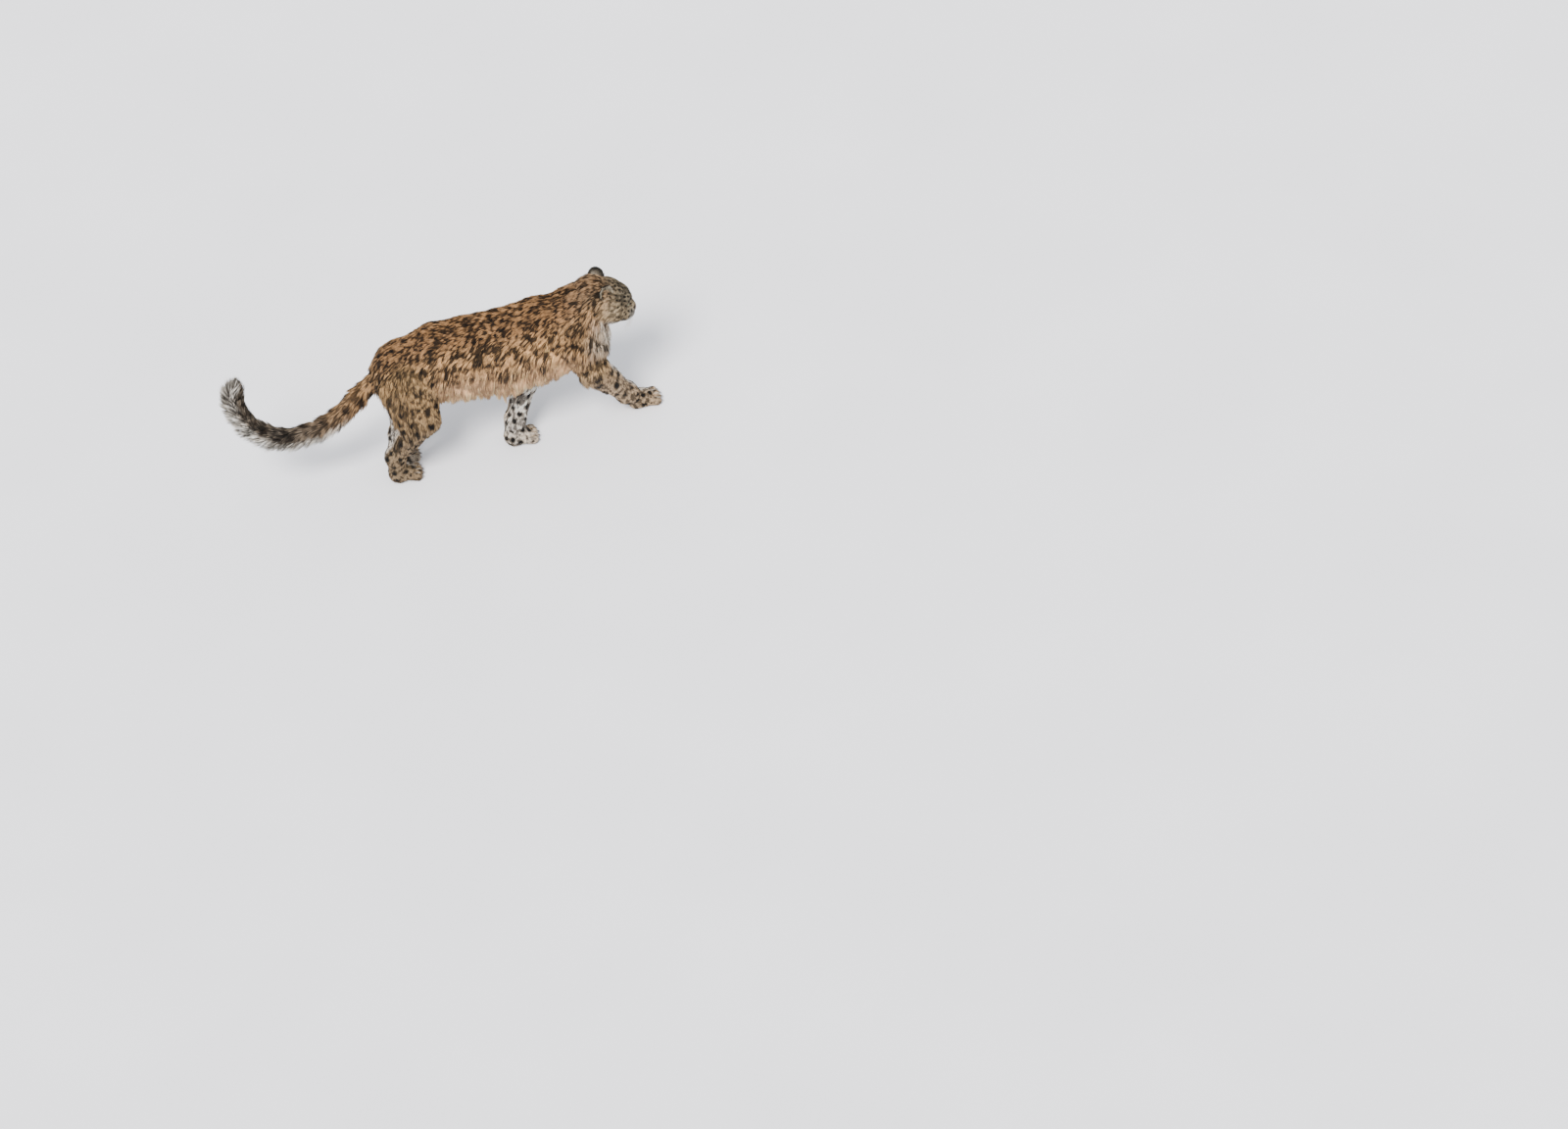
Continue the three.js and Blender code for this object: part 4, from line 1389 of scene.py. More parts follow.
    def spots(self, points: Array) -> Array:
        """Gives how dark the spots make each place, from 0 to 1."""
        darkness = np.zeros(len(points))
        blur = wobble(points, 9, 41) * 0.5 + wobble(points, 22, 42) * 0.5
        for spot in nearest_few(points, self.places, 3).T:
            off = points - self.places[spot]
            off[:, 0] *= self.stretch[spot]
            far = np.linalg.norm(off, axis=1)
            angle = np.arctan2(off[:, 2] + 0.4 * off[:, 1], off[:, 0] + 0.3 * off[:, 1])
            first, second, third, fourth = self.phase[spot].T
            uneven = 1 + 0.16 * np.sin(2 * angle + first) + 0.12 * np.sin(3 * angle + second)
            radius = self.radius[spot] * uneven
            rim = self.rim[spot] * (1 + 0.25 * blur)
            ring = smooth_step(1.0, 0.35, np.abs(far - radius) / (rim * 0.72))
            gaps = 0.62 + 0.5 * np.sin(2 * angle + third) + 0.45 * np.sin(4 * angle + fourth)
            ring = ring * np.clip(gaps + 0.35 * blur, 0.12, 1.0)
            solid = smooth_step(1.0, 0.4, far / (radius + rim * 0.62) + 0.18 * blur)
            inside = 0.3 * smooth_step(1.0, 0.5, far / radius)
            shown = np.where(self.open[spot], np.maximum(ring, inside), solid)
            darkness = np.maximum(darkness, shown * self.strength[spot])
        return darkness

    def colour(self, points: Array, normals: Array) -> Array:
        """Gives the coat's whole colour at each place."""
        ground = self.ground(points, normals)
        dark = np.maximum(self.spots(points), self._face_marks(points))
        dark = np.maximum(dark, self._tail_bands(points))
        dark = dark * (1 - 0.45 * self.animal.tail_outer(points, normals))
        low = smooth_step(0.66, 0.4, points[:, 2] / WITHERS_HEIGHT)
        ahead = smooth_step(1.0, 1.08, points[:, 0] / TRUNK_LENGTH)
        ink = mixed(self.DARK["body"], self.DARK["limb"], np.maximum(low, ahead))
        return mixed(ground, ink, dark)


# The coat's tufts


def everywhere(places: Array, normals: Array) -> Array:
    """Takes every place."""
    return np.ones(len(places), bool)


@dataclass(frozen=True)
class CoatPlan:
    """One piece of the coat.

    Attributes:
        name: The piece's name.
        slot: A material slot's name.
        area: Square millimetres of skin for each tuft.
        zones: The zones whose skin it covers.
        test: Which places of those zones it takes, from places and outward directions.
        rings: How many rings of corners a tuft has under its tip.
        clump: Width of a clump of tufts in millimetres.
        pull: How far tips are drawn to the clump's tip.
        contrast: How much clumps differ in tone.
    """

    name: str
    slot: str
    area: float
    zones: tuple[str, ...] = ()
    test: SkinField = everywhere
    rings: int = 2
    clump: float = 16.0
    pull: float = 0.45
    contrast: float = 1.0


@dataclass
class Roots:
    """Where tufts grow.

    Attributes:
        places: Their roots in the animal's frame.
        normals: The skin's outward directions there.
        chart: Their places on the skin's unwrap.
    """

    places: Array
    normals: Array
    chart: Array


def sow(
    rng: np.random.Generator, places: Array, normals: Array, faces: Array, area: float,
) -> tuple[Array, Array]:
    """Spreads roots evenly over a mesh's triangles.

    Args:
        rng: The seeded source of chance.
        places: The mesh's vertices.
        normals: Outward directions at the vertices.
        faces: The triangles.
        area: Square millimetres for each root.

    Returns:
        The roots and the outward directions there.
    """
    edges = places[faces]
    size = np.linalg.norm(np.cross(edges[:, 1] - edges[:, 0], edges[:, 2] - edges[:, 0]), axis=1) / 2
    count = np.floor(size / area + rng.uniform(0, 1, len(faces))).astype(int)
    picked = np.repeat(np.arange(len(faces)), count)
    share = rng.dirichlet((1.6, 1.6, 1.6), len(picked))[:, :, None]
    root = (edges[picked] * share).sum(axis=1)
    out = unit((normals[faces[picked]] * share).sum(axis=1))
    return root, out


def tuft_faces(rings: int, sides: int) -> list[tuple[int, ...]]:
    """Lists the faces of one closed, tapered strand, turned outwards."""
    faces: list[tuple[int, ...]] = [tuple(reversed(range(sides)))]
    for ring in range(rings - 1):
        for k in range(sides):
            a, b = ring * sides + k, ring * sides + (k + 1) % sides
            faces.append((a, b, b + sides, a + sides))
    last = (rings - 1) * sides
    faces += [(last + k, last + (k + 1) % sides, rings * sides) for k in range(sides)]
    return faces


def tuft_mesh(bench: Bench, name: str, places: Array, rings: int, sides: int) -> Piece:
    """Makes one joined mesh of strands from arrays.

    Args:
        bench: Where pieces are made.
        name: The piece's name.
        places: Each strand's corners, ring by ring and then the tip.
        rings: Rings of corners in a strand.
        sides: Corners in a ring.

    Returns:
        The joined mesh.
    """
    count, each = places.shape[:2]
    faces = tuft_faces(rings, sides)
    loops = np.concatenate([np.array(face) for face in faces])
    sizes = np.array([len(face) for face in faces])
    mesh = bpy.data.meshes.new(name)
    mesh.vertices.add(count * each)
    mesh.vertices.foreach_set("co", bench.metres(places.reshape(-1, 3)).ravel())
    mesh.loops.add(count * len(loops))
    order = (np.arange(count) * each)[:, None] + loops
    mesh.loops.foreach_set("vertex_index", order.ravel().astype(np.int32))
    mesh.polygons.add(count * len(faces))
    starts = (np.arange(count) * len(loops))[:, None] + np.concatenate(([0], np.cumsum(sizes)[:-1]))
    mesh.polygons.foreach_set("loop_start", starts.ravel().astype(np.int32))
    mesh.update(calc_edges=True)
    piece = bpy.data.objects.new(name, mesh)
    bpy.context.scene.collection.objects.link(piece)
    return smooth_shaded(piece)


def strands(
    bench: Bench, name: str, lines: Array, radii: Sequence[float], sides: int, across: Array,
) -> Piece:
    """Makes round cords that taper to a point, such as whiskers and claws.

    Args:
        bench: Where pieces are made.
        name: The piece's name.
        lines: The cords' middle lines, as point by cord by axis.
        radii: Radius at each point but the last.
        sides: Corners round a cord.
        across: A direction that the cords don't run in.

    Returns:
        The joined mesh.
    """
    corners = []
    for ring, radius in enumerate(radii):
        ahead = unit(lines[ring + 1] - lines[max(ring - 1, 0)])
        level = unit(np.cross(across, ahead))
        above = np.cross(ahead, level)
        for k in range(sides):
            turn = 2 * math.pi * k / sides
            corners.append(lines[ring] + (level * math.cos(turn) + above * math.sin(turn)) * radius)
    corners.append(lines[-1])
    return tuft_mesh(bench, name, np.stack(corners, axis=1), len(radii), sides)


@dataclass
class TuftMaker:
    """Turns roots and growth into one joined mesh of closed, tapered tufts.

    The ring factors give how light a tuft's rings are from the root, for tufts of two and of three rings;
    the dark root is painted shade deep in the coat, between the tufts. WIDTHS gives how wide they are.

    Attributes:
        bench: Where pieces are made.
        plan: The coat piece's plan.
        roots: The tufts' roots.
        growth: How they grow.
        rng: The seeded source of chance.
    """

    bench: Bench
    plan: CoatPlan
    roots: Roots
    growth: Growth
    rng: np.random.Generator

    CORNERS = 3
    # Painted shade: how light each ring is from root to tip; the dark root stands in for shade in the coat.
    SHADES = {2: (0.42, 0.92), 3: (0.4, 0.82, 1.0)}
    WIDTHS = {2: (0.8, 1.0), 3: (0.8, 1.0, 0.7)}
    UV_MAP = "OFBake"
    PATCH = 0.003

    def clumped(self, tips: Array) -> tuple[Array, Array]:
        """Draws tips together in clumps.

        Args:
            tips: The tufts' tips.

        Returns:
            The drawn tips, and the clump of each tuft.
        """
        places = self.roots.places
        count = max(1, int(len(tips) * self.plan.area / self.plan.clump**2))
        heads = self.rng.choice(len(tips), count, replace=False)
        clump = nearest_few(places, places[heads], 1)[:, 0]
        head = heads[clump]
        target = tips[head] + 0.22 * (places - places[head])
        pull = self.plan.pull * self.rng.uniform(0.5, 1.15, len(tips))[:, None]
        return tips * (1 - pull) + target * pull, clump

    def spines(self) -> tuple[Array, Array]:
        """Lays each tuft's middle line.

        Returns:
            The line's points, as rings and tip by tuft by axis, and the clump of each tuft.
        """
        places, normals, growth, rings = self.roots.places, self.roots.normals, self.growth, self.plan.rings
        count = len(places)
        swirl = np.radians(16 * wobble(places, 48, 11) + self.rng.normal(0, 7, count))
        across = np.cross(normals, growth.way)
        way = growth.way * np.cos(swirl)[:, None] + across * np.sin(swirl)[:, None]
        lift = growth.lift + 5 * wobble(places, 34, 12) + self.rng.normal(0, 4, count)
        lift = np.radians(np.clip(lift, 6, 75))
        sag = growth.sag[:, None] * point(0, 0, -1)
        first = unit(way * np.cos(lift)[:, None] + normals * np.sin(lift)[:, None] + 0.7 * sag)
        length = growth.length * self.rng.uniform(0.78, 1.12, count) * (1 + 0.16 * wobble(places, 24, 13))
        second = unit(first + sag - 0.12 * normals)
        third = unit(second + 0.7 * sag - 0.12 * normals)
        line = [places - normals * (0.32 * growth.width)[:, None]]
        for step in (first, second, third)[:rings]:
            line.append(line[-1] + step * (length / rings)[:, None])
        drawn, clump = self.clumped(line[-1])
        change = drawn - line[-1]
        for ring in range(1, len(line)):
            line[ring] = line[ring] + change * (ring / rings) ** 1.4
        return np.stack(line), clump

    def build(self, colour: SkinField) -> Piece:
        """Builds a coat piece.

        Args:
            colour: Gives the coat's colour from places and outward directions.

        Returns:
            The joined mesh.
        """
        line, clump = self.spines()
        line[..., 2] = np.maximum(line[..., 2], 0.8)
        corners = []
        for ring, width in enumerate(self.WIDTHS[self.plan.rings]):
            middle = line[ring]
            ahead = unit(line[ring + 1] - line[max(ring - 1, 0)])
            across = unit(np.cross(self.roots.normals, ahead))
            above = np.cross(ahead, across)
            half = (self.growth.width * width / 2)[:, None]
            corners += [middle + across * half, middle + above * half * 0.7, middle - across * half]
        corners.append(line[-1])
        places = np.stack(corners, axis=1)
        places[..., 2] = np.maximum(places[..., 2], 0.6)
        piece = tuft_mesh(self.bench, self.plan.name, places, self.plan.rings, self.CORNERS)
        shown = colour((self.roots.places + line[-1]) / 2, self.roots.normals)
        self._colour(piece, shown, line[-1], clump)
        self._unwrap(piece)
        return piece

    def _colour(self, piece: Piece, base: Array, tips: Array, clump: Array) -> None:
        """Colours each tuft by the markings, darker at the root as painted shade, with dark and pale flecks.
        """
        contrast = self.plan.contrast
        fine = wobble(tips * (0.6, 1.0, 0.8), 6.3, 61) + 0.4 * wobble(tips, 34, 62)
        fleck = smooth_step(-0.32, 0.3, fine + self.rng.normal(0, 0.25, clump.max() + 1)[clump])[:, None]
        flecked = (1 - fleck) * base * 0.1 + fleck * base * 1.32
        base = (1 - contrast) * base + contrast * flecked
        tone = self.rng.normal(1.0, 0.05 + 0.08 * contrast, len(base))
        # Painted shade: each ring is darker towards the root, where the coat lies in shade.
        ring_painted_shades = self.SHADES[self.plan.rings]
        rows = [np.repeat((base * shade)[:, None], self.CORNERS, axis=1) for shade in ring_painted_shades]
        whole = np.concatenate([*rows, (base * 1.2)[:, None]], axis=1) * tone[:, None, None]
        paint_corners(piece, COAT_COLOUR, np.clip(whole, 0.002, 0.9).reshape(-1, 3))

    def _unwrap(self, piece: Piece) -> None:
        """Gives each tuft a small patch at its root's place on the skin's own unwrap."""
        rings, sides, chart = self.plan.rings, self.CORNERS, self.roots.chart
        low, high = chart.min(axis=0), chart.max(axis=0)
        spot = 0.01 + 0.975 * (chart - low) / np.maximum(high - low, 1e-6)
        corner = np.zeros((rings * sides + 1, 2))
        for ring in range(rings):
            for k in range(sides):
                corner[ring * sides + k] = (k / (sides - 1), ring / rings)
        corner[-1] = (0.5, 1.0)
        loops = np.concatenate([np.array(face) for face in tuft_faces(rings, sides)])
        layer = piece.data.uv_layers.new(name=self.UV_MAP)
        layer.data.foreach_set("uv", (spot[:, None] + self.PATCH * corner[loops]).astype(np.float32).ravel())


# Finishes


class Wire:
    """A shader value that takes Python's arithmetic."""

    def __init__(self, paint: Paint, socket: bpy.types.NodeSocket) -> None:
        """Wraps a socket.

        Args:
            paint: The material that it belongs to.
            socket: The output that carries the value.
        """
        self.paint = paint
        self.socket = socket

    def _math(self, operation: str, *values: Wire | float) -> Wire:
        """Adds a Math node."""
        return self.paint.add("ShaderNodeMath", {"operation": operation}, dict(enumerate(values)))

    def __add__(self, other: Wire | float) -> Wire:
        """Adds."""
        return self._math("ADD", self, other)

    __radd__ = __add__

    def __sub__(self, other: Wire | float) -> Wire:
        """Subtracts."""
        return self._math("SUBTRACT", self, other)

    def __rsub__(self, other: Wire | float) -> Wire:
        """Subtracts from a number."""
        return self._math("SUBTRACT", other, self)

    def __mul__(self, other: Wire | float) -> Wire:
        """Multiplies."""
        return self._math("MULTIPLY", self, other)

    __rmul__ = __mul__

    def clamped(self) -> Wire:
        """Keeps the value between 0 and 1."""
        return self._math("MAXIMUM", self._math("MINIMUM", self, 1.0), 0.0)


class Paint:
    """Builds one material's nodes."""

    def __init__(self, name: str) -> None:
        """Starts a material with one shader."""
        self.material = bpy.data.materials.new(name)
        self.material.use_nodes = True
        self.tree = self.material.node_tree
        self.shader = next(node for node in self.tree.nodes if node.type == "BSDF_PRINCIPLED")

    def add(
        self, kind: str, settings: dict | None = None, inputs: dict | None = None, output: int | str = 0,
    ) -> Wire:
        """Adds a node.

        Args:
            kind: The node's type.
            settings: Its settings, such as an operation or a ramp's stops.
            inputs: Values or wires for its sockets.
            output: The output to wrap.

        Returns:
            The chosen output.
        """
        node = self.tree.nodes.new(kind)
        for key, value in (settings or {}).items():
            if key == "stops":
                self._stops(node, value)
            else:
                setattr(node, key, value)
        for key, value in (inputs or {}).items():
            self.feed(node.inputs[key], value)
        return Wire(self, node.outputs[output])

    def _stops(self, node: bpy.types.Node, stops: Sequence[tuple[float, Sequence[float]]]) -> None:
        """Sets a ramp's stops."""
        ramp = node.color_ramp
        while len(ramp.elements) < len(stops):
            ramp.elements.new(0.5)
        for element, (position, colour) in zip(ramp.elements, stops):
            element.position = position
            element.color = (*colour, 1.0)

    def feed(self, socket: bpy.types.NodeSocket, value: Wire | float | Sequence[float]) -> None:
        """Sets a socket, or links a wire to it."""
        if isinstance(value, Wire):
            self.tree.links.new(value.socket, socket)
        elif socket.type == "RGBA":
            socket.default_value = (*value, 1.0) if len(value) == 3 else value
        else:
            socket.default_value = value

    def attribute(self, name: str, output: str = "Color") -> Wire:
        """Reads a value stored on the mesh."""
        return self.add("ShaderNodeAttribute", {"attribute_name": name}, output=output)

    def place(self) -> Wire:
        """Reads the place on the piece."""
        return self.add("ShaderNodeTexCoord", output="Object")

    def noise(self, scale: float, detail: float = 2.0) -> Wire:
        """Makes noise over the piece."""
        inputs = {"Vector": self.place(), "Scale": scale, "Detail": detail}
        return self.add("ShaderNodeTexNoise", None, inputs)

    def ramp(self, share: Wire, *stops: tuple[float, Sequence[float]]) -> Wire:
        """Turns a value into a colour between stops."""
        return self.add("ShaderNodeValToRGB", {"stops": stops}, {0: share})

    def tinted(self, colour: Wire, tint: Wire) -> Wire:
        """Multiplies a colour by another."""
        settings = {"data_type": "RGBA", "blend_type": "MULTIPLY"}
        return self.add("ShaderNodeMix", settings, {0: 1.0, 6: colour, 7: tint}, output=2)

    def bump(self, height: Wire, strength: float, distance: float) -> None:
        """Roughens the surface by a height."""
        inputs = {"Height": height, "Strength": strength, "Distance": distance}
        self.feed(self.shader.inputs["Normal"], self.add("ShaderNodeBump", None, inputs))

    def set(self, **values: Wire | float | Sequence[float]) -> bpy.types.Material:
        """Sets the shader's sockets, written with low lines for spaces."""
        for name, value in values.items():
            self.feed(self.shader.inputs[name.replace("_", " ").title().replace("Ior", "IOR")], value)
        return self.material


@dataclass(frozen=True)
class HairFinish:
    """The hair of the coat.

    Attributes:
        name: The finish's name.
        roughness: How dull the hair is.
        sheen: How much light its edges catch.
        strand: Size of the streaks, as noise scale.
    """

    name: str
    roughness: float = 0.72
    sheen: float = 0.02
    strand: float = 900.0

    def material(self) -> bpy.types.Material:
        """Builds the material: the stored markings, broken by fine streaks."""
        paint = Paint(self.name)
        fine = paint.noise(self.strand, 1.0)
        broad = paint.noise(26.0, 3.0)
        tone = paint.ramp(fine, (0.3, (0.8, 0.79, 0.78)), (0.7, (1.0, 1.0, 1.0)))
        warmth = paint.ramp(broad, (0.35, (0.93, 0.94, 0.97)), (0.65, (1.0, 0.98, 0.95)))
        colour = paint.tinted(paint.tinted(paint.attribute(COAT_COLOUR), tone), warmth)
        paint.bump(fine, 0.25, 0.0006)
        return paint.set(
            base_color=colour, roughness=fine * 0.16 + (self.roughness - 0.08), sheen_weight=self.sheen,
            sheen_roughness=0.5, specular_ior_level=0.1,
        )


@dataclass(frozen=True)
class SkinFinish:
    """The short under-hair that shows between tufts, darkened as painted shade.

    Attributes:
        name: The finish's name.
        shade: How dark the painted shade between the tufts makes it against the hair's tips.
    """

    name: str
    shade: float = 0.62

    def material(self) -> bpy.types.Material:
        """Builds the material: the same markings, darkened by painted shade, and streaked."""
        paint = Paint(self.name)
        fine = paint.noise(620.0, 3.0)
        # Painted shade: the markings are darkened by the shade factor, as if deep in the coat's shadow.
        tone = paint.ramp(fine, (0.3, (self.shade * 0.7,) * 3), (0.75, (self.shade * 1.25,) * 3))
        colour = paint.tinted(paint.attribute(COAT_COLOUR), tone)
        paint.bump(fine, 0.6, 0.0012)
        return paint.set(base_color=colour, roughness=fine * 0.2 + 0.7, specular_ior_level=0.2)


@dataclass(frozen=True)
class LeatherFinish:
    """Bare skin, such as the nose, lips, lids and pads.

    Attributes:
        name: The finish's name.
        light: Colour of the raised grain.
        dark: Colour between the grain.
        roughness: How dull it is.
        grain: Size of the grain, as cell scale.
    """

    name: str
    light: Colour
    dark: Colour
    roughness: float = 0.45
    grain: float = 700.0

    def material(self) -> bpy.types.Material:
        """Builds the material: pebbled grain with broad patches."""
        paint = Paint(self.name)
        cells = paint.add("ShaderNodeTexVoronoi", None, {"Vector": paint.place(), "Scale": self.grain})
        patch = paint.noise(90.0)
        share = (cells * 0.5 + patch * 0.6).clamped()
        colour = paint.ramp(share, (0.25, linear(*self.light)), (0.8, linear(*self.dark)))
        paint.bump(cells, 0.35, 0.0005)
        return paint.set(base_color=colour, roughness=patch * 0.2 + (self.roughness - 0.1), coat_weight=0.15)


@dataclass(frozen=True)
class EyeFinish:
    """The wet eyeball with its iris and round pupil.

    Attributes:
        name: The finish's name.
    """

    name: str

    def material(self) -> bpy.types.Material:
        """Builds the material from the stored distance to the middle of the gaze."""
        paint = Paint(self.name)
        away = paint.attribute("from_pupil", "Fac")
        ring = (away + (paint.noise(900.0) - 0.5) * 0.08).clamped()
        colour = paint.ramp(
            ring, (0.0, linear(4, 4, 5)), (0.31, linear(6, 6, 6)), (0.35, linear(112, 100, 52)),
            (0.5, linear(132, 136, 102)), (0.68, linear(104, 116, 98)), (0.76, linear(26, 27, 23)),
            (0.84, linear(38, 31, 27)), (1.0, linear(88, 74, 66)),
        )
        return paint.set(
            base_color=colour, roughness=0.1, coat_weight=0.15, coat_roughness=0.02, specular_ior_level=0.15,
        )


@dataclass(frozen=True)
class HornFinish:
    """Claws and whiskers.

    Attributes:
        name: The finish's name.
        light: Colour at its palest.
        dark: Colour at its darkest.
    """

    name: str
    light: Colour
    dark: Colour

    def material(self) -> bpy.types.Material:
        """Builds the material: fine lengthwise streaks."""
        paint = Paint(self.name)
        streak = paint.noise(420.0, 3.0)
        colour = paint.ramp(streak, (0.3, linear(*self.dark)), (0.7, linear(*self.light)))
        paint.bump(streak, 0.2, 0.0003)
        return paint.set(base_color=colour, roughness=streak * 0.15 + 0.28)


@dataclass(frozen=True)
class FloorFinish:
    """The studio's plain pale floor.

    Attributes:
        name: The finish's name.
    """

    name: str

    def material(self) -> bpy.types.Material:
        """Builds the material: almost even, very slightly mottled."""
        paint = Paint(self.name)
        colour = paint.ramp(paint.noise(1.3), (0.3, linear(238, 238, 243)), (0.7, linear(243, 243, 248)))
        return paint.set(base_color=colour, roughness=0.85, specular_ior_level=0.2)


# Pieces


def dress(piece: Piece, slot: str, finish: bpy.types.Material, *nodes: str) -> Piece:
    """Finishes a piece and joins it to the model.

    Args:
        piece: The piece.
        slot: The name of a material slot; not used.
        finish: Its material.
        nodes: The solids that it stands for.

    Returns:
        The piece.
    """
    piece.data.materials.clear()
    piece.data.materials.append(finish)
    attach(piece, "root")
    if nodes:
        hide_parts(*nodes)
    LOG.info("%s: %d faces", piece.name, len(piece.data.polygons))
    return piece


@dataclass
class BodySkin:
    """The one skin under the coat of the trunk, neck, legs, paws and tail.

    Attributes:
        voxel: Size of its faces in millimetres.
        collar: How far behind the skull's middle the head's skin takes over.
    """

    voxel: float = 6.0
    collar: float = 30.0

    NODES = ("torso", "neck", "tail_root", "tail_middle", "tail_bend", "tail_tip")
    LEGS = ("front_right", "front_left", "hind_right", "hind_left")

    def nodes(self) -> list[str]:
        """Lists the solids that it stands for."""
        legs = [f"leg_{leg}_{part}" for leg in self.LEGS for part in ("upper", "lower")]
        return [*self.NODES, *legs, *[f"paw_{leg}" for leg in self.LEGS]]

    def limbs(self, animal: Animal) -> list[tuple[Limb, Placement | None]]:
        """Lists the limbs that the skin is modelled over."""
        trunk = animal.trunk
        spine = [
            (place(0.13, 0, 0.79), 104), (place(0.305, 0, 0.815), 122), (place(0.43, 0, 0.79), 128),
            (place(0.61, 0, 0.745), 140), (place(0.775, 0, 0.75), 140), (place(0.9, 0, 0.75), 130),
            (place(0.93, 0, 0.845), 82), (trunk.head.frame.out(point(-50, 0, 6)), 66),
        ]
        limbs: list[tuple[Limb, Placement | None]] = [
            (Limb(a[0], a[1], b[0], b[1], 0.9), None) for a, b in zip(spine[:-1], spine[1:])
        ]
        limbs.append((Limb(place(0.93, 0, 0.62), 72, place(0.9, 0, 0.75), 108), None))
        for leg in animal.legs:
            root, bend, ankle = leg.joints
            big, middle, small = leg.radii
            limbs += [
                (Limb(root, big * 0.95, bend, middle * 0.92, 0.8), None),
                (Limb(bend, middle * 0.86, ankle, small * 0.95), None),
                (Limb(ankle, small * 0.95, leg.paw_top, 33), None),
                (leg.pad_form(), leg.frame),
                *[(toe, leg.frame) for toe in leg.toe_forms()],
            ]
        shares = np.linspace(0.02, 0.985, 26)
        dots = animal.tail.route.at(shares)
        limbs += [(Limb(a, TAIL_FLESH, b, TAIL_FLESH), None) for a, b in zip(dots[:-1], dots[1:])]
        return limbs

    def build(self, bench: Bench, animal: Animal) -> Piece:
        """Models the skin, sunk under the coat's surface."""

        def form(points: Array) -> Array:
            """Gives the distance to the flesh, and dives under the head's skin."""
            return animal.flesh(points) + 5.0 * animal.ahead_of_collar(points, -self.collar, 0)

        skin = sculpt(bench, "skin_body", self.limbs(animal), form, self.voxel)
        own = bench.own(corners_of(skin))
        refine(skin, own[:, 2] < 62)
        settle(bench, skin, form, 2)
        sink(bench, skin, animal, form)
        return smooth_shaded(skin)


def refine(piece: Piece, chosen: Array) -> None:
    """Divides the faces whose corners are chosen, for finer form."""
    pick(piece)
    corners = np.zeros(len(piece.data.loops), int)
    piece.data.loops.foreach_get("vertex_index", corners)
    starts = np.zeros(len(piece.data.polygons), int)
    piece.data.polygons.foreach_get("loop_start", starts)
    piece.data.vertices.foreach_set("select", chosen)
    piece.data.polygons.foreach_set("select", np.minimum.reduceat(chosen[corners], starts))
    bpy.context.tool_settings.mesh_select_mode = (False, False, True)
    bpy.ops.object.mode_set(mode="EDIT")
    bpy.ops.mesh.subdivide(number_cuts=1)
    bpy.ops.object.mode_set(mode="OBJECT")


def sink(bench: Bench, skin: Piece, animal: Animal, form: Field) -> None:
    """Lowers a skin by the depth of the coat that grows on it."""
    points, normals = bench.own(corners_of(skin)), normals_of(skin)
    depth = animal.growth(points, normals).depth
    for _ in range(2):
        out, steepness = gradient(form, points)
        points = points - out * np.clip((form(points) + depth) / steepness, -12, 12)[:, None]
    move_corners(skin, bench.metres(points))


@dataclass
class HeadSkin:
    """The head's skin, finer than the body's.

    Attributes:
        voxel: Size of its faces in millimetres.
        reach: How far behind the skull's middle it goes.
    """

    voxel: float = 2.1
    reach: float = 64.0

    def build(self, bench: Bench, animal: Animal) -> Piece:
        """Models the head with its muzzle, brows, sockets and mouth."""
        head = animal.head

        def form(points: Array) -> Array:
            """Gives the distance to the head's face and the neck behind it."""
            dive = 6.0 * smooth_step(-34, -62, head.frame.home(points)[:, 0])
            return animal.flesh(points) + dive

        limbs = [(limb, head.frame) for limb in head.limbs()]
        skin = sculpt(bench, "skin_head", limbs, form, self.voxel)
        sink(bench, skin, animal, form)
        return skin


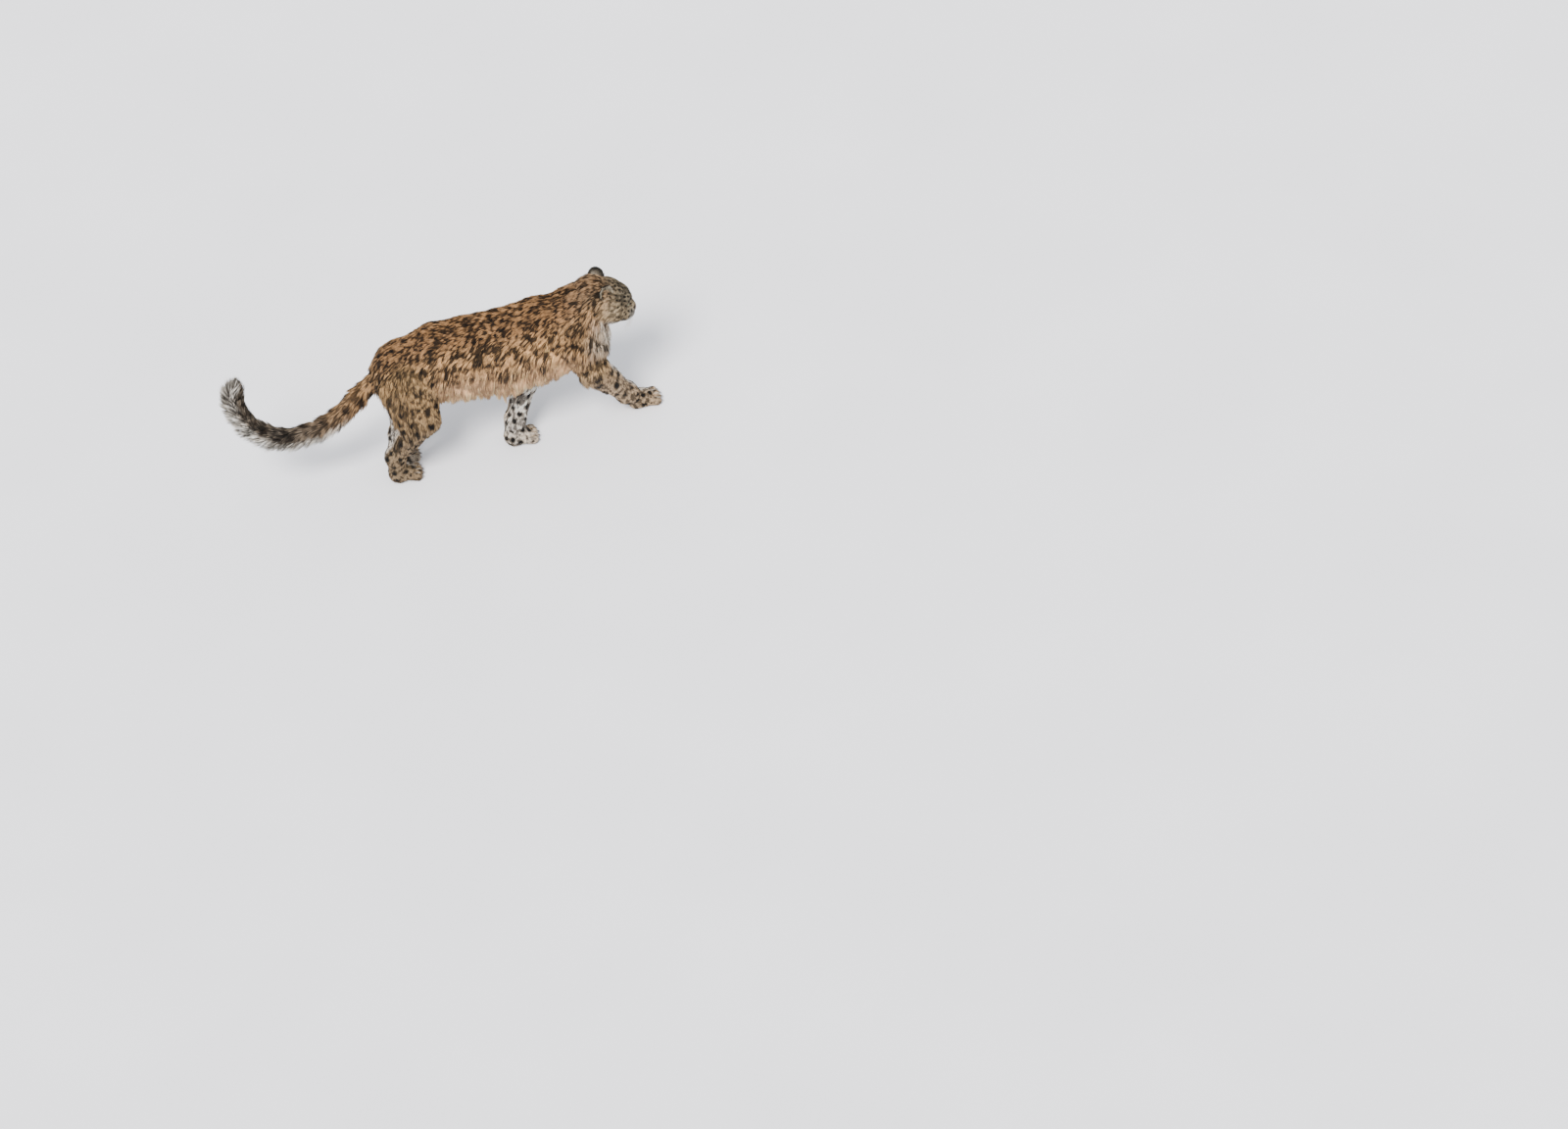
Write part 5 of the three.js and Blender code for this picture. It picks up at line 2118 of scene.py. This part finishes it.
@dataclass
class Ear:
    """A small rounded ear, cupped to the front.

    Attributes:
        side: The animal's side that it stands on.
        head: The head.
        turn: Degrees that its cup faces to the side.
        lean: Degrees that its cup faces up.
        out: How far its root stands from the head's middle.
        width: Its width at the root.
        height: Its height.
        cup: Depth of the cup.
    """

    side: Side
    head: HeadForms
    turn: float = 46.0
    lean: float = 10.0
    out: float = 58.5
    width: float = 66.0
    height: float = 50.0
    cup: float = 17.0

    def __post_init__(self) -> None:
        """Places the ear on the head."""
        sign, base = self.side.value, self.head.frame
        own = turned((sign * self.turn, "Z"), (-self.lean, "Y"), (-sign * 20, "X"))
        self.frame = Placement(base.turn @ own, base.out(point(-38, sign * self.out, 38)))

    def sheet(self, flat: Array) -> Array:
        """Cups a flat square into the ear's bowl.

        Args:
            flat: Points of a square from -1 to 1.

        Returns:
            Points in the ear's own frame.
        """
        across = flat[:, 0] * np.sqrt(1 - flat[:, 1] ** 2 / 2)
        up = flat[:, 1] * np.sqrt(1 - flat[:, 0] ** 2 / 2)
        far = across**2 + up**2
        x = -self.cup * np.sqrt(np.maximum(1.05 - far, 0)) + 5 * up - 1.5
        y = self.width / 2 * across * (1 - 0.1 * up)
        z = self.height * (0.36 + 0.62 * up)
        return np.stack([x, y, z], axis=1)

    def build(self, bench: Bench) -> Piece:
        """Models the ear from a flat grid that is cupped and given a wall."""
        deselect()
        bpy.ops.mesh.primitive_grid_add(x_subdivisions=24, y_subdivisions=24, size=2.0)
        piece = bpy.context.object
        piece.name = piece.data.name = f"ear_skin_{self.side.word}"
        move_corners(piece, bench.metres(self.frame.out(self.sheet(corners_of(piece)))))
        wall = piece.modifiers.new("wall", "SOLIDIFY")
        wall.thickness = 3.0 * MM
        wall.offset = 0.0
        soften = piece.modifiers.new("soften", "SUBSURF")
        soften.levels = soften.render_levels = 1
        finish_modifiers(piece)
        outward(piece)
        return smooth_shaded(piece)

    def parts(self, points: Array, normals: Array) -> tuple[Array, ...]:
        """Gives places across and up the ear as shares, and how far each faces into the cup."""
        own = self.frame.home(points)
        middle = point(12, 0, self.height * 0.36)
        inward = ((middle - own) * (normals @ self.frame.turn)).sum(axis=1)
        return own[:, 1] / (self.width / 2), own[:, 2] / self.height, smooth_step(-3.0, 3.0, inward)

    def colour(self, points: Array, normals: Array) -> Array:
        """Gives the ear's colour: black behind with a pale patch, pale hair round painted shade in the cup.
        """
        across, up, inside = self.parts(points, normals)
        patch = np.exp(-((across / 0.5) ** 2) - ((up - 0.46) / 0.26) ** 2)
        # Painted shade: the cup is darkened at its middle, where the ear's opening would lie in shadow.
        painted_opening_shade = np.exp(-((across / 0.5) ** 2) - ((up - 0.24) / 0.42) ** 2)
        back = mixed(linear(17, 15, 14), linear(196, 182, 160), patch)
        cup = mixed(linear(160, 149, 130), linear(26, 21, 18), painted_opening_shade)
        cup = mixed(cup, linear(40, 35, 31), smooth_step(0.86, 0.97, up))
        return mixed(back, cup, inside)

    def growth(self, points: Array, normals: Array) -> Growth:
        """Lets the ear's hair lie up to its rim, longer and looser in the cup."""
        across, up, inside = self.parts(points, normals)
        own_way = np.stack([0.5 * inside, 0.5 * across * (1 - 1.6 * inside), np.ones_like(up)], axis=1)
        way = along_skin(self.frame.way(own_way), normals)
        tuck = smooth_step(0.95, 0.2, up) * inside
        return growth_of(way, length=7.5 + 9 * tuck, lift=15 + 24 * tuck, width=1.7, sag=0.0, depth=0.0)


@dataclass
class Eye:
    """One eye with its lids.

    Attributes:
        side: The animal's side that it is on.
        head: The head.
        radius: The eyeball's radius.
        ahead: How far ahead the lids' edge lies, as a share of its reach.
        tall: How tall the opening is on each side of its middle, on the same scale.
        drop: How far its middle lies under the gaze.
    """

    side: Side
    head: HeadForms
    radius: float = EYE_RADIUS
    ahead: float = 0.74
    tall: float = 0.42
    drop: float = 0.02

    def __post_init__(self) -> None:
        """Finds the eye's middle, its gaze, the way across and the way up."""
        frame, sign = self.head.frame, self.side.value
        self.centre = frame.out(self.head.eye(sign))
        self.look = frame.way(self.head.gaze(sign))
        self.across = unit(np.cross(frame.way(point(0, 0, 1)), self.look))
        self.above = np.cross(self.look, self.across)

    def build_ball(self, bench: Bench) -> Piece:
        """Models the eyeball with its bulging front."""
        ball, unit_ball = ball_at(48, 32)
        near = smooth_step(0.74, 1.0, unit_ball[:, 2])
        shape = unit_ball * (self.radius + 1.6 * near)[:, None]
        basis = np.stack([self.across, self.above, self.look])
        move_corners(ball, bench.metres(shape @ basis + self.centre))
        ball.name = ball.data.name = f"eyeball_{self.side.word}"
        away = np.arccos(np.clip(unit_ball[:, 2], -1, 1)) / math.radians(62)
        mark_corners(ball, "from_pupil", np.clip(away, 0, 1))
        return smooth_shaded(ball)

    def almond(self, turn: Array, spread: Array) -> Array:
        """Gives directions from the eye's middle to an almond line round its front.

        Args:
            turn: Angle round the almond, 0 at the outer corner.
            spread: 1 for the lids' edge, more for lines farther out.

        Returns:
            Unit directions in the animal's frame.
        """
        out, bow = -self.side.value * np.cos(turn), np.abs(np.cos(turn))
        wide = (0.82 + bow**3 * 0.12) * out
        tall = np.where(np.sin(turn) > 0, self.tall, self.tall + 0.02) * np.sin(turn) * (1 - 0.25 * bow**2)
        way = self.ahead * self.look + (spread * wide)[:, None] * self.across
        return unit(way + (spread * tall + 0.08 * out - self.drop)[:, None] * self.above)

    def build_lids(self, bench: Bench) -> Piece:
        """Models the lids as a ring that rises from the eyeball into the face."""
        deselect()
        bpy.ops.mesh.primitive_torus_add(
            major_segments=80, minor_segments=24, major_radius=2.0, minor_radius=1.0)
        rim = bpy.context.object
        rim.name = rim.data.name = f"lids_{self.side.word}"
        ring = corners_of(rim)
        turn = np.arctan2(ring[:, 1], ring[:, 0])
        around = np.arctan2(ring[:, 2], np.linalg.norm(ring[:, :2], axis=1) - 2.0)
        share = (1 + np.cos(around)) / 2
        way = self.almond(turn, 1 + 0.85 * share)
        skin = way_out(self.head.world, np.broadcast_to(self.centre, way.shape), way, 40.0)
        lid = self.radius + 1.7
        above = smooth_step(-0.2, 0.6, np.sin(turn))
        dive = (0.9 + 1.8 * above) * smooth_step(0.35, 0.75, share) + 3.4 * smooth_step(0.7, 1.0, share)
        face = np.maximum(skin - 0.4 - dive, lid - 1.2 * smooth_step(0.8, 1.0, share))
        bulge = 0.5 * np.sin(np.pi * np.clip(share * 3, 0, 1))
        top = lid + (face - lid) * smooth_step(0.2, 0.9, share) + bulge
        under = self.radius + 0.35 + (face - 3.0 - self.radius) * smooth_step(0.25, 1.0, share)
        side_up = smooth_step(-0.25, 0.25, np.sin(around))
        away = under + (top - under) * side_up
        move_corners(rim, bench.metres(self.centre + way * away[:, None]))
        outward(rim)
        return smooth_shaded(rim)

    def rim_share(self, points: Array) -> Array:
        """Gives how far places lie from the opening between the lids: 1 on its edge, 2 twice as wide."""
        ways = unit(points - self.centre)
        ahead = np.maximum(ways @ self.look, 1e-3)
        wide = (ways @ self.across) / ahead * self.ahead / 0.9
        tall = ((ways @ self.above) / ahead * self.ahead + self.drop) / self.tall
        share = np.sqrt(wide**2 + tall**2)
        far = np.linalg.norm(points - self.centre, axis=1)
        return np.where((ways @ self.look > 0.12) & (far < 34), share, 9.0)


@dataclass
class Nose:
    """The nose leather with its nostrils, on the head."""

    head: HeadForms

    def build(self, bench: Bench) -> Piece:
        """Models the nose."""
        p = point
        limbs = [
            Limb(p(118, 0, -5), 12, p(121, 0, -8), 11, 1.6),
            *both(lambda s: [Limb(p(122, s * 12, -13), 7.5, p(119, s * 15, -14), 6)]),
            Limb(p(119, 0, -23), 7, p(122, 0, -17), 9),
        ]
        nostrils = both(lambda s: [
            Limb(p(131, s * 8, -14), 3.0, p(130, s * 11, -13), 3.6),
            Limb(p(130, s * 11, -13), 3.2, p(123, s * 20, -17), 1.6),
        ])
        frame = self.head.frame
        form = frame.carried(hollow(2, blend(5, limbs), nostrils))
        return sculpt(bench, "nose_pad", [(limb, frame) for limb in limbs], form, 1.2)


@dataclass
class Mouth:
    """The dark line of the lips, and the whiskers above them.

    Attributes:
        head: The head.
        lip: Radius of the lips' line.
        rows: Rows of whiskers on each side.
        columns: Whiskers in a row.
    """

    head: HeadForms
    lip: float = 1.7
    rows: int = 4
    columns: int = 5

    def build_lips(self, bench: Bench) -> Piece:
        """Lays the lips along the line of the mouth."""
        frame = self.head.frame
        line = frame.out(self.head.lips)[:, None]
        share = np.abs(np.linspace(-1, 1, len(line)))[:-1]
        radii = self.lip * np.sqrt(np.maximum(1 - share**6, 0.05))
        return strands(bench, "lips", line, radii, 8, frame.way(point(0, 0, 1)))

    def build_whiskers(self, bench: Bench) -> Piece:
        """Bends the whiskers out of their pads, back and down."""
        rng = np.random.default_rng(71)
        middle, roots, ways, lengths = [], [], [], []
        for side in Side:
            for row in range(self.rows):
                for column in range(self.columns - (row in (0, 3))):
                    turn = math.radians(28 + 17 * column)
                    middle.append(point(92, side.value * 24, -28))
                    roots.append(unit(point(math.cos(turn), side.value * math.sin(turn), -0.05 - 0.17 * row)))
                    rise = -0.1 - 0.13 * row + 0.05 * column
                    ways.append(unit(point(-0.05 - 0.09 * column, side.value, rise)))
                    lengths.append((56 + 9 * column) * rng.uniform(0.85, 1.1))
        middle, roots, ways, lengths = (np.array(part) for part in (middle, roots, ways, lengths))
        reach = way_out(self.head.shape, middle, roots, 60.0)
        root = middle + roots * (reach - 2.5)[:, None]
        steps = np.linspace(0, 1, 9)[:, None, None]
        bend = point(-0.32, 0, -0.2)
        line = root + lengths[:, None] * (steps * ways + steps**2 * bend)
        radii, frame = 0.45 * (1 - np.linspace(0, 0.75, 8)), self.head.frame
        return strands(bench, "whiskers", frame.out(line), radii, 5, frame.way(point(0.3, 0, 1)))


@dataclass
class Feet:
    """The claws and pads of all four paws."""

    legs: list[LegForms]

    def build_claws(self, bench: Bench) -> Piece:
        """Hooks a short claw out of the hair of each toe."""
        cords = []
        for leg in self.legs:
            for toe in leg.toe_forms():
                tip = toe.end + point(toe.end_radius - 4, 0, -2)
                bends = [(0, 0, 0), (3, 0, 0.4), (6, 0, -0.6), (8.4, 0, -3), (9.6, 0, -6.4)]
                cords.append(leg.frame.out(np.array([tip + point(*bend) for bend in bends])))
        return strands(bench, "claws", np.stack(cords, axis=1), (2.5, 2.5, 2.1, 1.4), 8, point(0, 1, 0))

    def pads(self, leg: LegForms) -> list[Limb]:
        """Lists one paw's pads, in the paw's frame."""
        limbs = [
            Limb(point(8, -13, 8), 7.5, point(8, 13, 8), 7.5),
            Limb(point(18, -6, 9), 8.5, point(18, 6, 9), 8.5),
        ]
        for toe in leg.toe_forms():
            x, y, _ = toe.end
            limbs.append(Limb(point(x - 8, y, 8), 7.5, point(x + 2, y, 8), 6.5))
        return limbs

    def build_pads(self, bench: Bench) -> Piece:
        """Models the pads that the paws stand on."""
        limbs = [(pad, leg.frame) for leg in self.legs for pad in self.pads(leg)]
        form = blend(2, [frame.carried(pad) for pad, frame in limbs])
        return sculpt(bench, "paw_pads", limbs, form, 2.6)


# The studio


@dataclass(frozen=True)
class Studio:
    """The camera, light and floor.

    Attributes:
        azimuth: Degrees that the camera stands round from the animal's right side.
        elevation: Degrees that it looks down.
        roll: Degrees that it is tipped to the side.
        pixels: Pixels of the photograph for each millimetre.
        far: Metres from the camera to the animal.
        anchor_x: Pixels from the photograph's left edge to the anchor, a point of the floor.
        anchor_y: Pixels from its top edge to the anchor.
    """

    azimuth: float = -6.0
    elevation: float = 42.0
    roll: float = 12.0
    pixels: float = 0.274
    far: float = 32.4
    anchor_x: float = 407.48
    anchor_y: float = 490.65

    def axes(self) -> tuple[Array, Array, Array]:
        """Gives the camera's right, up and forward directions."""
        turn, rise, roll = (math.radians(a) for a in (self.azimuth, self.elevation, self.roll))
        forward = point(math.sin(-turn) * math.cos(rise), math.cos(turn) * math.cos(rise), -math.sin(rise))
        level = unit(np.cross(forward, point(0, 0, 1)))
        above = np.cross(level, forward)
        right = level * math.cos(roll) - above * math.sin(roll)
        return right, np.cross(right, forward), forward

    def camera(self, bench: Bench) -> Piece:
        """Places the camera so that the animal stands where the photograph has it."""
        right, up, forward = self.axes()
        aim = point(0, -60, 0) + right * (PHOTO_WIDTH / 2 - self.anchor_x) / self.pixels
        aim = aim - up * (PHOTO_HEIGHT / 2 - self.anchor_y) / self.pixels
        lens = bpy.data.cameras.new("camera")
        lens.sensor_width = 36.0
        width = PHOTO_WIDTH / self.pixels * MM
        lens.lens = lens.sensor_width * self.far / width
        lens.clip_end = 200.0
        camera = bpy.data.objects.new("camera", lens)
        turn = Matrix((Vector(right), Vector(up), Vector(-forward))).transposed()
        spot = Vector(bench.metres(aim) - forward * self.far)
        camera.matrix_world = Matrix.Translation(spot) @ turn.to_4x4()
        bpy.context.scene.collection.objects.link(camera)
        bpy.context.scene.camera = camera
        return camera

    def floor(self) -> Piece:
        """Lays the floor."""
        deselect()
        bpy.ops.mesh.primitive_plane_add(size=90.0, location=(0.0, 0.0, 0.0))
        floor = bpy.context.object
        floor.name = "floor"
        floor.data.materials.append(FloorFinish("pale_floor").material())
        return floor

    def lights(self) -> None:
        """Hangs a broad soft light above, with even light all round."""
        world = bpy.data.worlds.new("studio")
        world.use_nodes = True
        sky = world.node_tree.nodes["Background"]
        sky.inputs["Color"].default_value = (0.92, 0.96, 1.0, 1.0)
        sky.inputs["Strength"].default_value = 1.15
        bpy.context.scene.world = world
        for name, strength, turn, spread in (("key", 5.6, (38, 0, -30), 22), ("fill", 0.7, (60, 0, 60), 80)):
            lamp = bpy.data.lights.new(name, "SUN")
            lamp.energy = strength
            lamp.angle = math.radians(spread)
            lamp.color = (1.0, 0.97, 0.93)
            light = bpy.data.objects.new(name, lamp)
            light.rotation_euler = [math.radians(a) for a in turn]
            bpy.context.scene.collection.objects.link(light)


def coat_plans() -> list[CoatPlan]:
    """Lists the coat's pieces."""
    trunk = ("trunk",)
    neck = 0.9 * TRUNK_LENGTH

    def behind_neck(rises: Field) -> SkinField:
        """Takes the places behind the neck where a test on how far the skin faces up holds."""
        return lambda places, normals: rises(normals[:, 2]) & (places[:, 0] < neck)

    def half(side: Side, test: SkinField, by_place: bool = False) -> SkinField:
        """Narrows a test to the places on one side, or that face to it."""
        return lambda places, normals: test(places, normals) & (
            side.value * (places if by_place else normals)[:, 1] > 0)

    back = behind_neck(lambda rise: rise > 0.62)
    flank = behind_neck(lambda rise: abs(rise - 0.26) <= 0.36)
    belly = behind_neck(lambda rise: rise < -0.1)
    plans = [
        CoatPlan("coat_back", "coat", 10, trunk, back, clump=15, pull=0.55),
        CoatPlan("coat_neck", "coat", 11, trunk, lambda p, n: p[:, 0] >= neck, clump=15, pull=0.55),
        CoatPlan("coat_tail", "coat", 14, ("tail",), rings=3, pull=0.5, contrast=0.8),
    ]
    for side in Side:
        plans += [
            CoatPlan(f"coat_side_{side.word}", "coat", 9, trunk, half(side, flank), clump=17, pull=0.6),
            CoatPlan(
                f"coat_belly_{side.word}", "coat", 13, trunk, half(side, belly, by_place=True),
                rings=3, clump=28, pull=0.8, contrast=0.55),
            CoatPlan(
                f"coat_head_{side.word}", "coat_head", 4.6, ("head",), half(side, everywhere),
                clump=8, pull=0.35, contrast=0.7),
        ]
    for leg in BodySkin.LEGS:
        upper, paw, area = f"leg_{leg}", f"paw_{leg}", 15 if "hind" in leg else 11
        plans += [
            CoatPlan(f"coat_{upper}", "coat_legs", area, (upper,), clump=14, pull=0.5, contrast=0.85),
            CoatPlan(f"coat_{paw}", "coat_paws", 6, (paw,), clump=9, pull=0.35, contrast=0.55),
        ]
    return plans


@dataclass
class Coat:
    """All the coat's pieces over the skins.

    Attributes:
        bench: Where pieces are made.
        animal: The animal.
        markings: The coat's colours.
    """

    bench: Bench
    animal: Animal
    markings: Markings

    BARE_BY_EYE = 1.55
    LID_HAIR = (1.28, 1.75)

    def build(self, skins: Sequence[Piece], eyes: Sequence[Eye], ears: Sequence[Ear]) -> None:
        """Grows the coat on the skins.

        Args:
            skins: The body's skin, the head's skin and then the lids.
            eyes: The eyes, where the head's skin stays bare.
            ears: The ears, in whose cups it stays bare.
        """
        places, normals, faces, counts = [], [], [], [0]
        for skin in skins:
            places.append(self.bench.own(corners_of(skin)))
            normals.append(normals_of(skin))
            faces.append(triangles_of(skin) + sum(len(part) for part in places[:-1]))
            counts.append(counts[-1] + len(faces[-1]))
        places, normals, faces = (np.concatenate(part) for part in (places, normals, faces))
        middle, facing = places[faces].mean(axis=1), unit(normals[faces].mean(axis=1))
        hairy = self.hairy(middle, counts, eyes, ears)
        zone = self.animal.weights(places).argmax(axis=0)[faces[:, 0]]
        names = [item.name for item in self.animal.zones]
        for number, plan in enumerate(coat_plans()):
            own_zone = np.isin(zone, [names.index(item) for item in plan.zones])
            mine = own_zone & plan.test(middle, facing) & hairy
            rng = np.random.default_rng(400 + number)
            roots, out = sow(rng, places, normals, faces[mine], plan.area)
            bed = Roots(roots, out, self.animal.unwrap(roots))
            self.grow(plan, bed, self.animal.growth(roots, out), self.markings.colour, 500 + number)

    def grow(self, plan: CoatPlan, bed: Roots, growth: Growth, colour: SkinField, seed: int) -> None:
        """Builds one piece and dresses it."""
        maker = TuftMaker(self.bench, plan, bed, growth, np.random.default_rng(seed))
        dress(maker.build(colour), plan.slot, HairFinish(f"hair_{plan.name}").material())

    def hairy(
        self, middle: Array, counts: Sequence[int], eyes: Sequence[Eye], ears: Sequence[Ear],
    ) -> Array:
        """Finds the triangles that grow hair: none under another skin and none on the lids' edges."""
        order = np.arange(len(middle))
        ahead = self.animal.ahead_of_collar(middle, -34, -33)
        from_eye = np.minimum(*[eye.rim_share(middle) for eye in eyes])
        in_ear = np.zeros(len(middle), bool)
        for ear in ears:
            own = ear.frame.home(middle)
            in_ear |= (own[:, 0] > -16) & (own[:, 0] < 2) & (np.abs(own[:, 1]) < 22) & (own[:, 2] > -2)
        body = (order < counts[1]) & (ahead < 0.5)
        head = (order >= counts[1]) & (order < counts[2]) & (ahead > 0.5)
        lids = (order >= counts[2]) & (from_eye > self.LID_HAIR[0]) & (from_eye < self.LID_HAIR[1])
        return body | (head & (from_eye > self.BARE_BY_EYE) & ~in_ear) | lids

    def build_ear(self, ear: Ear, skin: Piece) -> None:
        """Grows an ear's hair on its skin."""
        plan = CoatPlan(f"coat_ear_{ear.side.word}", "coat_ears", 3.2, clump=6, pull=0.3, contrast=0.4)
        places, normals = self.bench.own(corners_of(skin)), normals_of(skin)
        rng = np.random.default_rng(450 + ear.side.value)
        roots, out = sow(rng, places, normals, triangles_of(skin), plan.area)
        across, up, inside = ear.parts(roots, out)
        chart = np.stack([across + 3 * np.round(inside), up], axis=1)
        self.grow(plan, Roots(roots, out, chart), ear.growth(roots, out), ear.colour, 550 + ear.side.value)


def paint_skins(
    bench: Bench, markings: Markings, skins: Sequence[Piece], lids: Sequence[Piece], eyes: Sequence[Eye],
) -> None:
    """Stores the coat's colour on the skins, and on the lids with their dark edges.

    Args:
        bench: Where pieces are made.
        markings: The coat's colours.
        skins: The body's and the head's skin.
        lids: The lids.
        eyes: The eyes.
    """
    for skin in (*skins, *lids):
        places = bench.own(corners_of(skin))
        colours = markings.colour(places, normals_of(skin))
        if skin in lids:
            shares = np.minimum(*[eye.rim_share(places) for eye in eyes])
            colours = mixed(colours, linear(26, 22, 20), smooth_step(1.42, 1.2, shares))
        paint_corners(skin, COAT_COLOUR, colours)


def main() -> None:
    """Builds the snow leopard over its solids."""
    logging.basicConfig(level=logging.INFO, format="%(message)s")
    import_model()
    animal = Animal()
    head = animal.head
    low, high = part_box("eye_left")
    bench = Bench((np.array(low) + np.array(high)) / 2 / MM - head.frame.out(head.eye(1)))
    LOG.info("shift %s", np.round(bench.shift, 2))
    body = BodySkin()
    skins = [body.build(bench, animal), HeadSkin().build(bench, animal)]
    points = np.concatenate([bench.own(corners_of(skin)) for skin in skins])
    normals = np.concatenate([normals_of(skin) for skin in skins])
    markings = Markings(animal, points, normals)
    eyes = [Eye(side, head) for side in Side]
    ears = [Ear(Side.LEFT, head), Ear(Side.RIGHT, head, turn=76.0, lean=26.0, out=68.0)]
    lids = [eye.build_lids(bench) for eye in eyes]
    paint_skins(bench, markings, skins, lids, eyes)
    # The skins' under-hair is darkened with painted shade.
    dress(skins[0], "coat", SkinFinish("underfur").material(), *body.nodes())
    dress(skins[1], "coat_head", SkinFinish("underfur_head", 0.8).material(), "head")
    coat = Coat(bench, animal, markings)
    coat.build([*skins, *lids], eyes, ears)
    for side, eye, ear, lid in zip(Side, eyes, ears, lids):
        name = side.word
        dress(lid, "nose_leather", SkinFinish(f"lid_{name}", 0.85).material())
        dress(eye.build_ball(bench), "eye", EyeFinish(f"eye_{name}_gloss").material(), f"eye_{name}")
        skin = ear.build(bench)
        paint_corners(skin, COAT_COLOUR, ear.colour(bench.own(corners_of(skin)), normals_of(skin)))
        dress(skin, "coat_ears", SkinFinish(f"ear_{name}_skin", 0.7).material(), f"ear_{name}")
        coat.build_ear(ear, skin)
    mouth = Mouth(head)
    lip = LeatherFinish("lip_skin", (46, 38, 36), (24, 20, 19))
    whisker = HornFinish("whisker", (232, 228, 220), (170, 164, 156))
    dress(mouth.build_lips(bench), "nose_leather", lip.material())
    dress(mouth.build_whiskers(bench), "coat_head", whisker.material())
    feet = Feet(animal.legs)
    claw = HornFinish("claw", (120, 106, 92), (52, 44, 38))
    pad = LeatherFinish("pad_skin", (92, 76, 70), (52, 43, 40), 0.6)
    dress(feet.build_claws(bench), "nose_leather", claw.material())
    dress(feet.build_pads(bench), "nose_leather", pad.material())
    nose = LeatherFinish("nose_leather", (118, 88, 82), (56, 43, 42))
    dress(Nose(head).build(bench), "nose_leather", nose.material(), "nose")
    studio = Studio()
    studio.floor()
    studio.lights()
    studio.camera(bench)


if __name__ == "__main__":
    main()
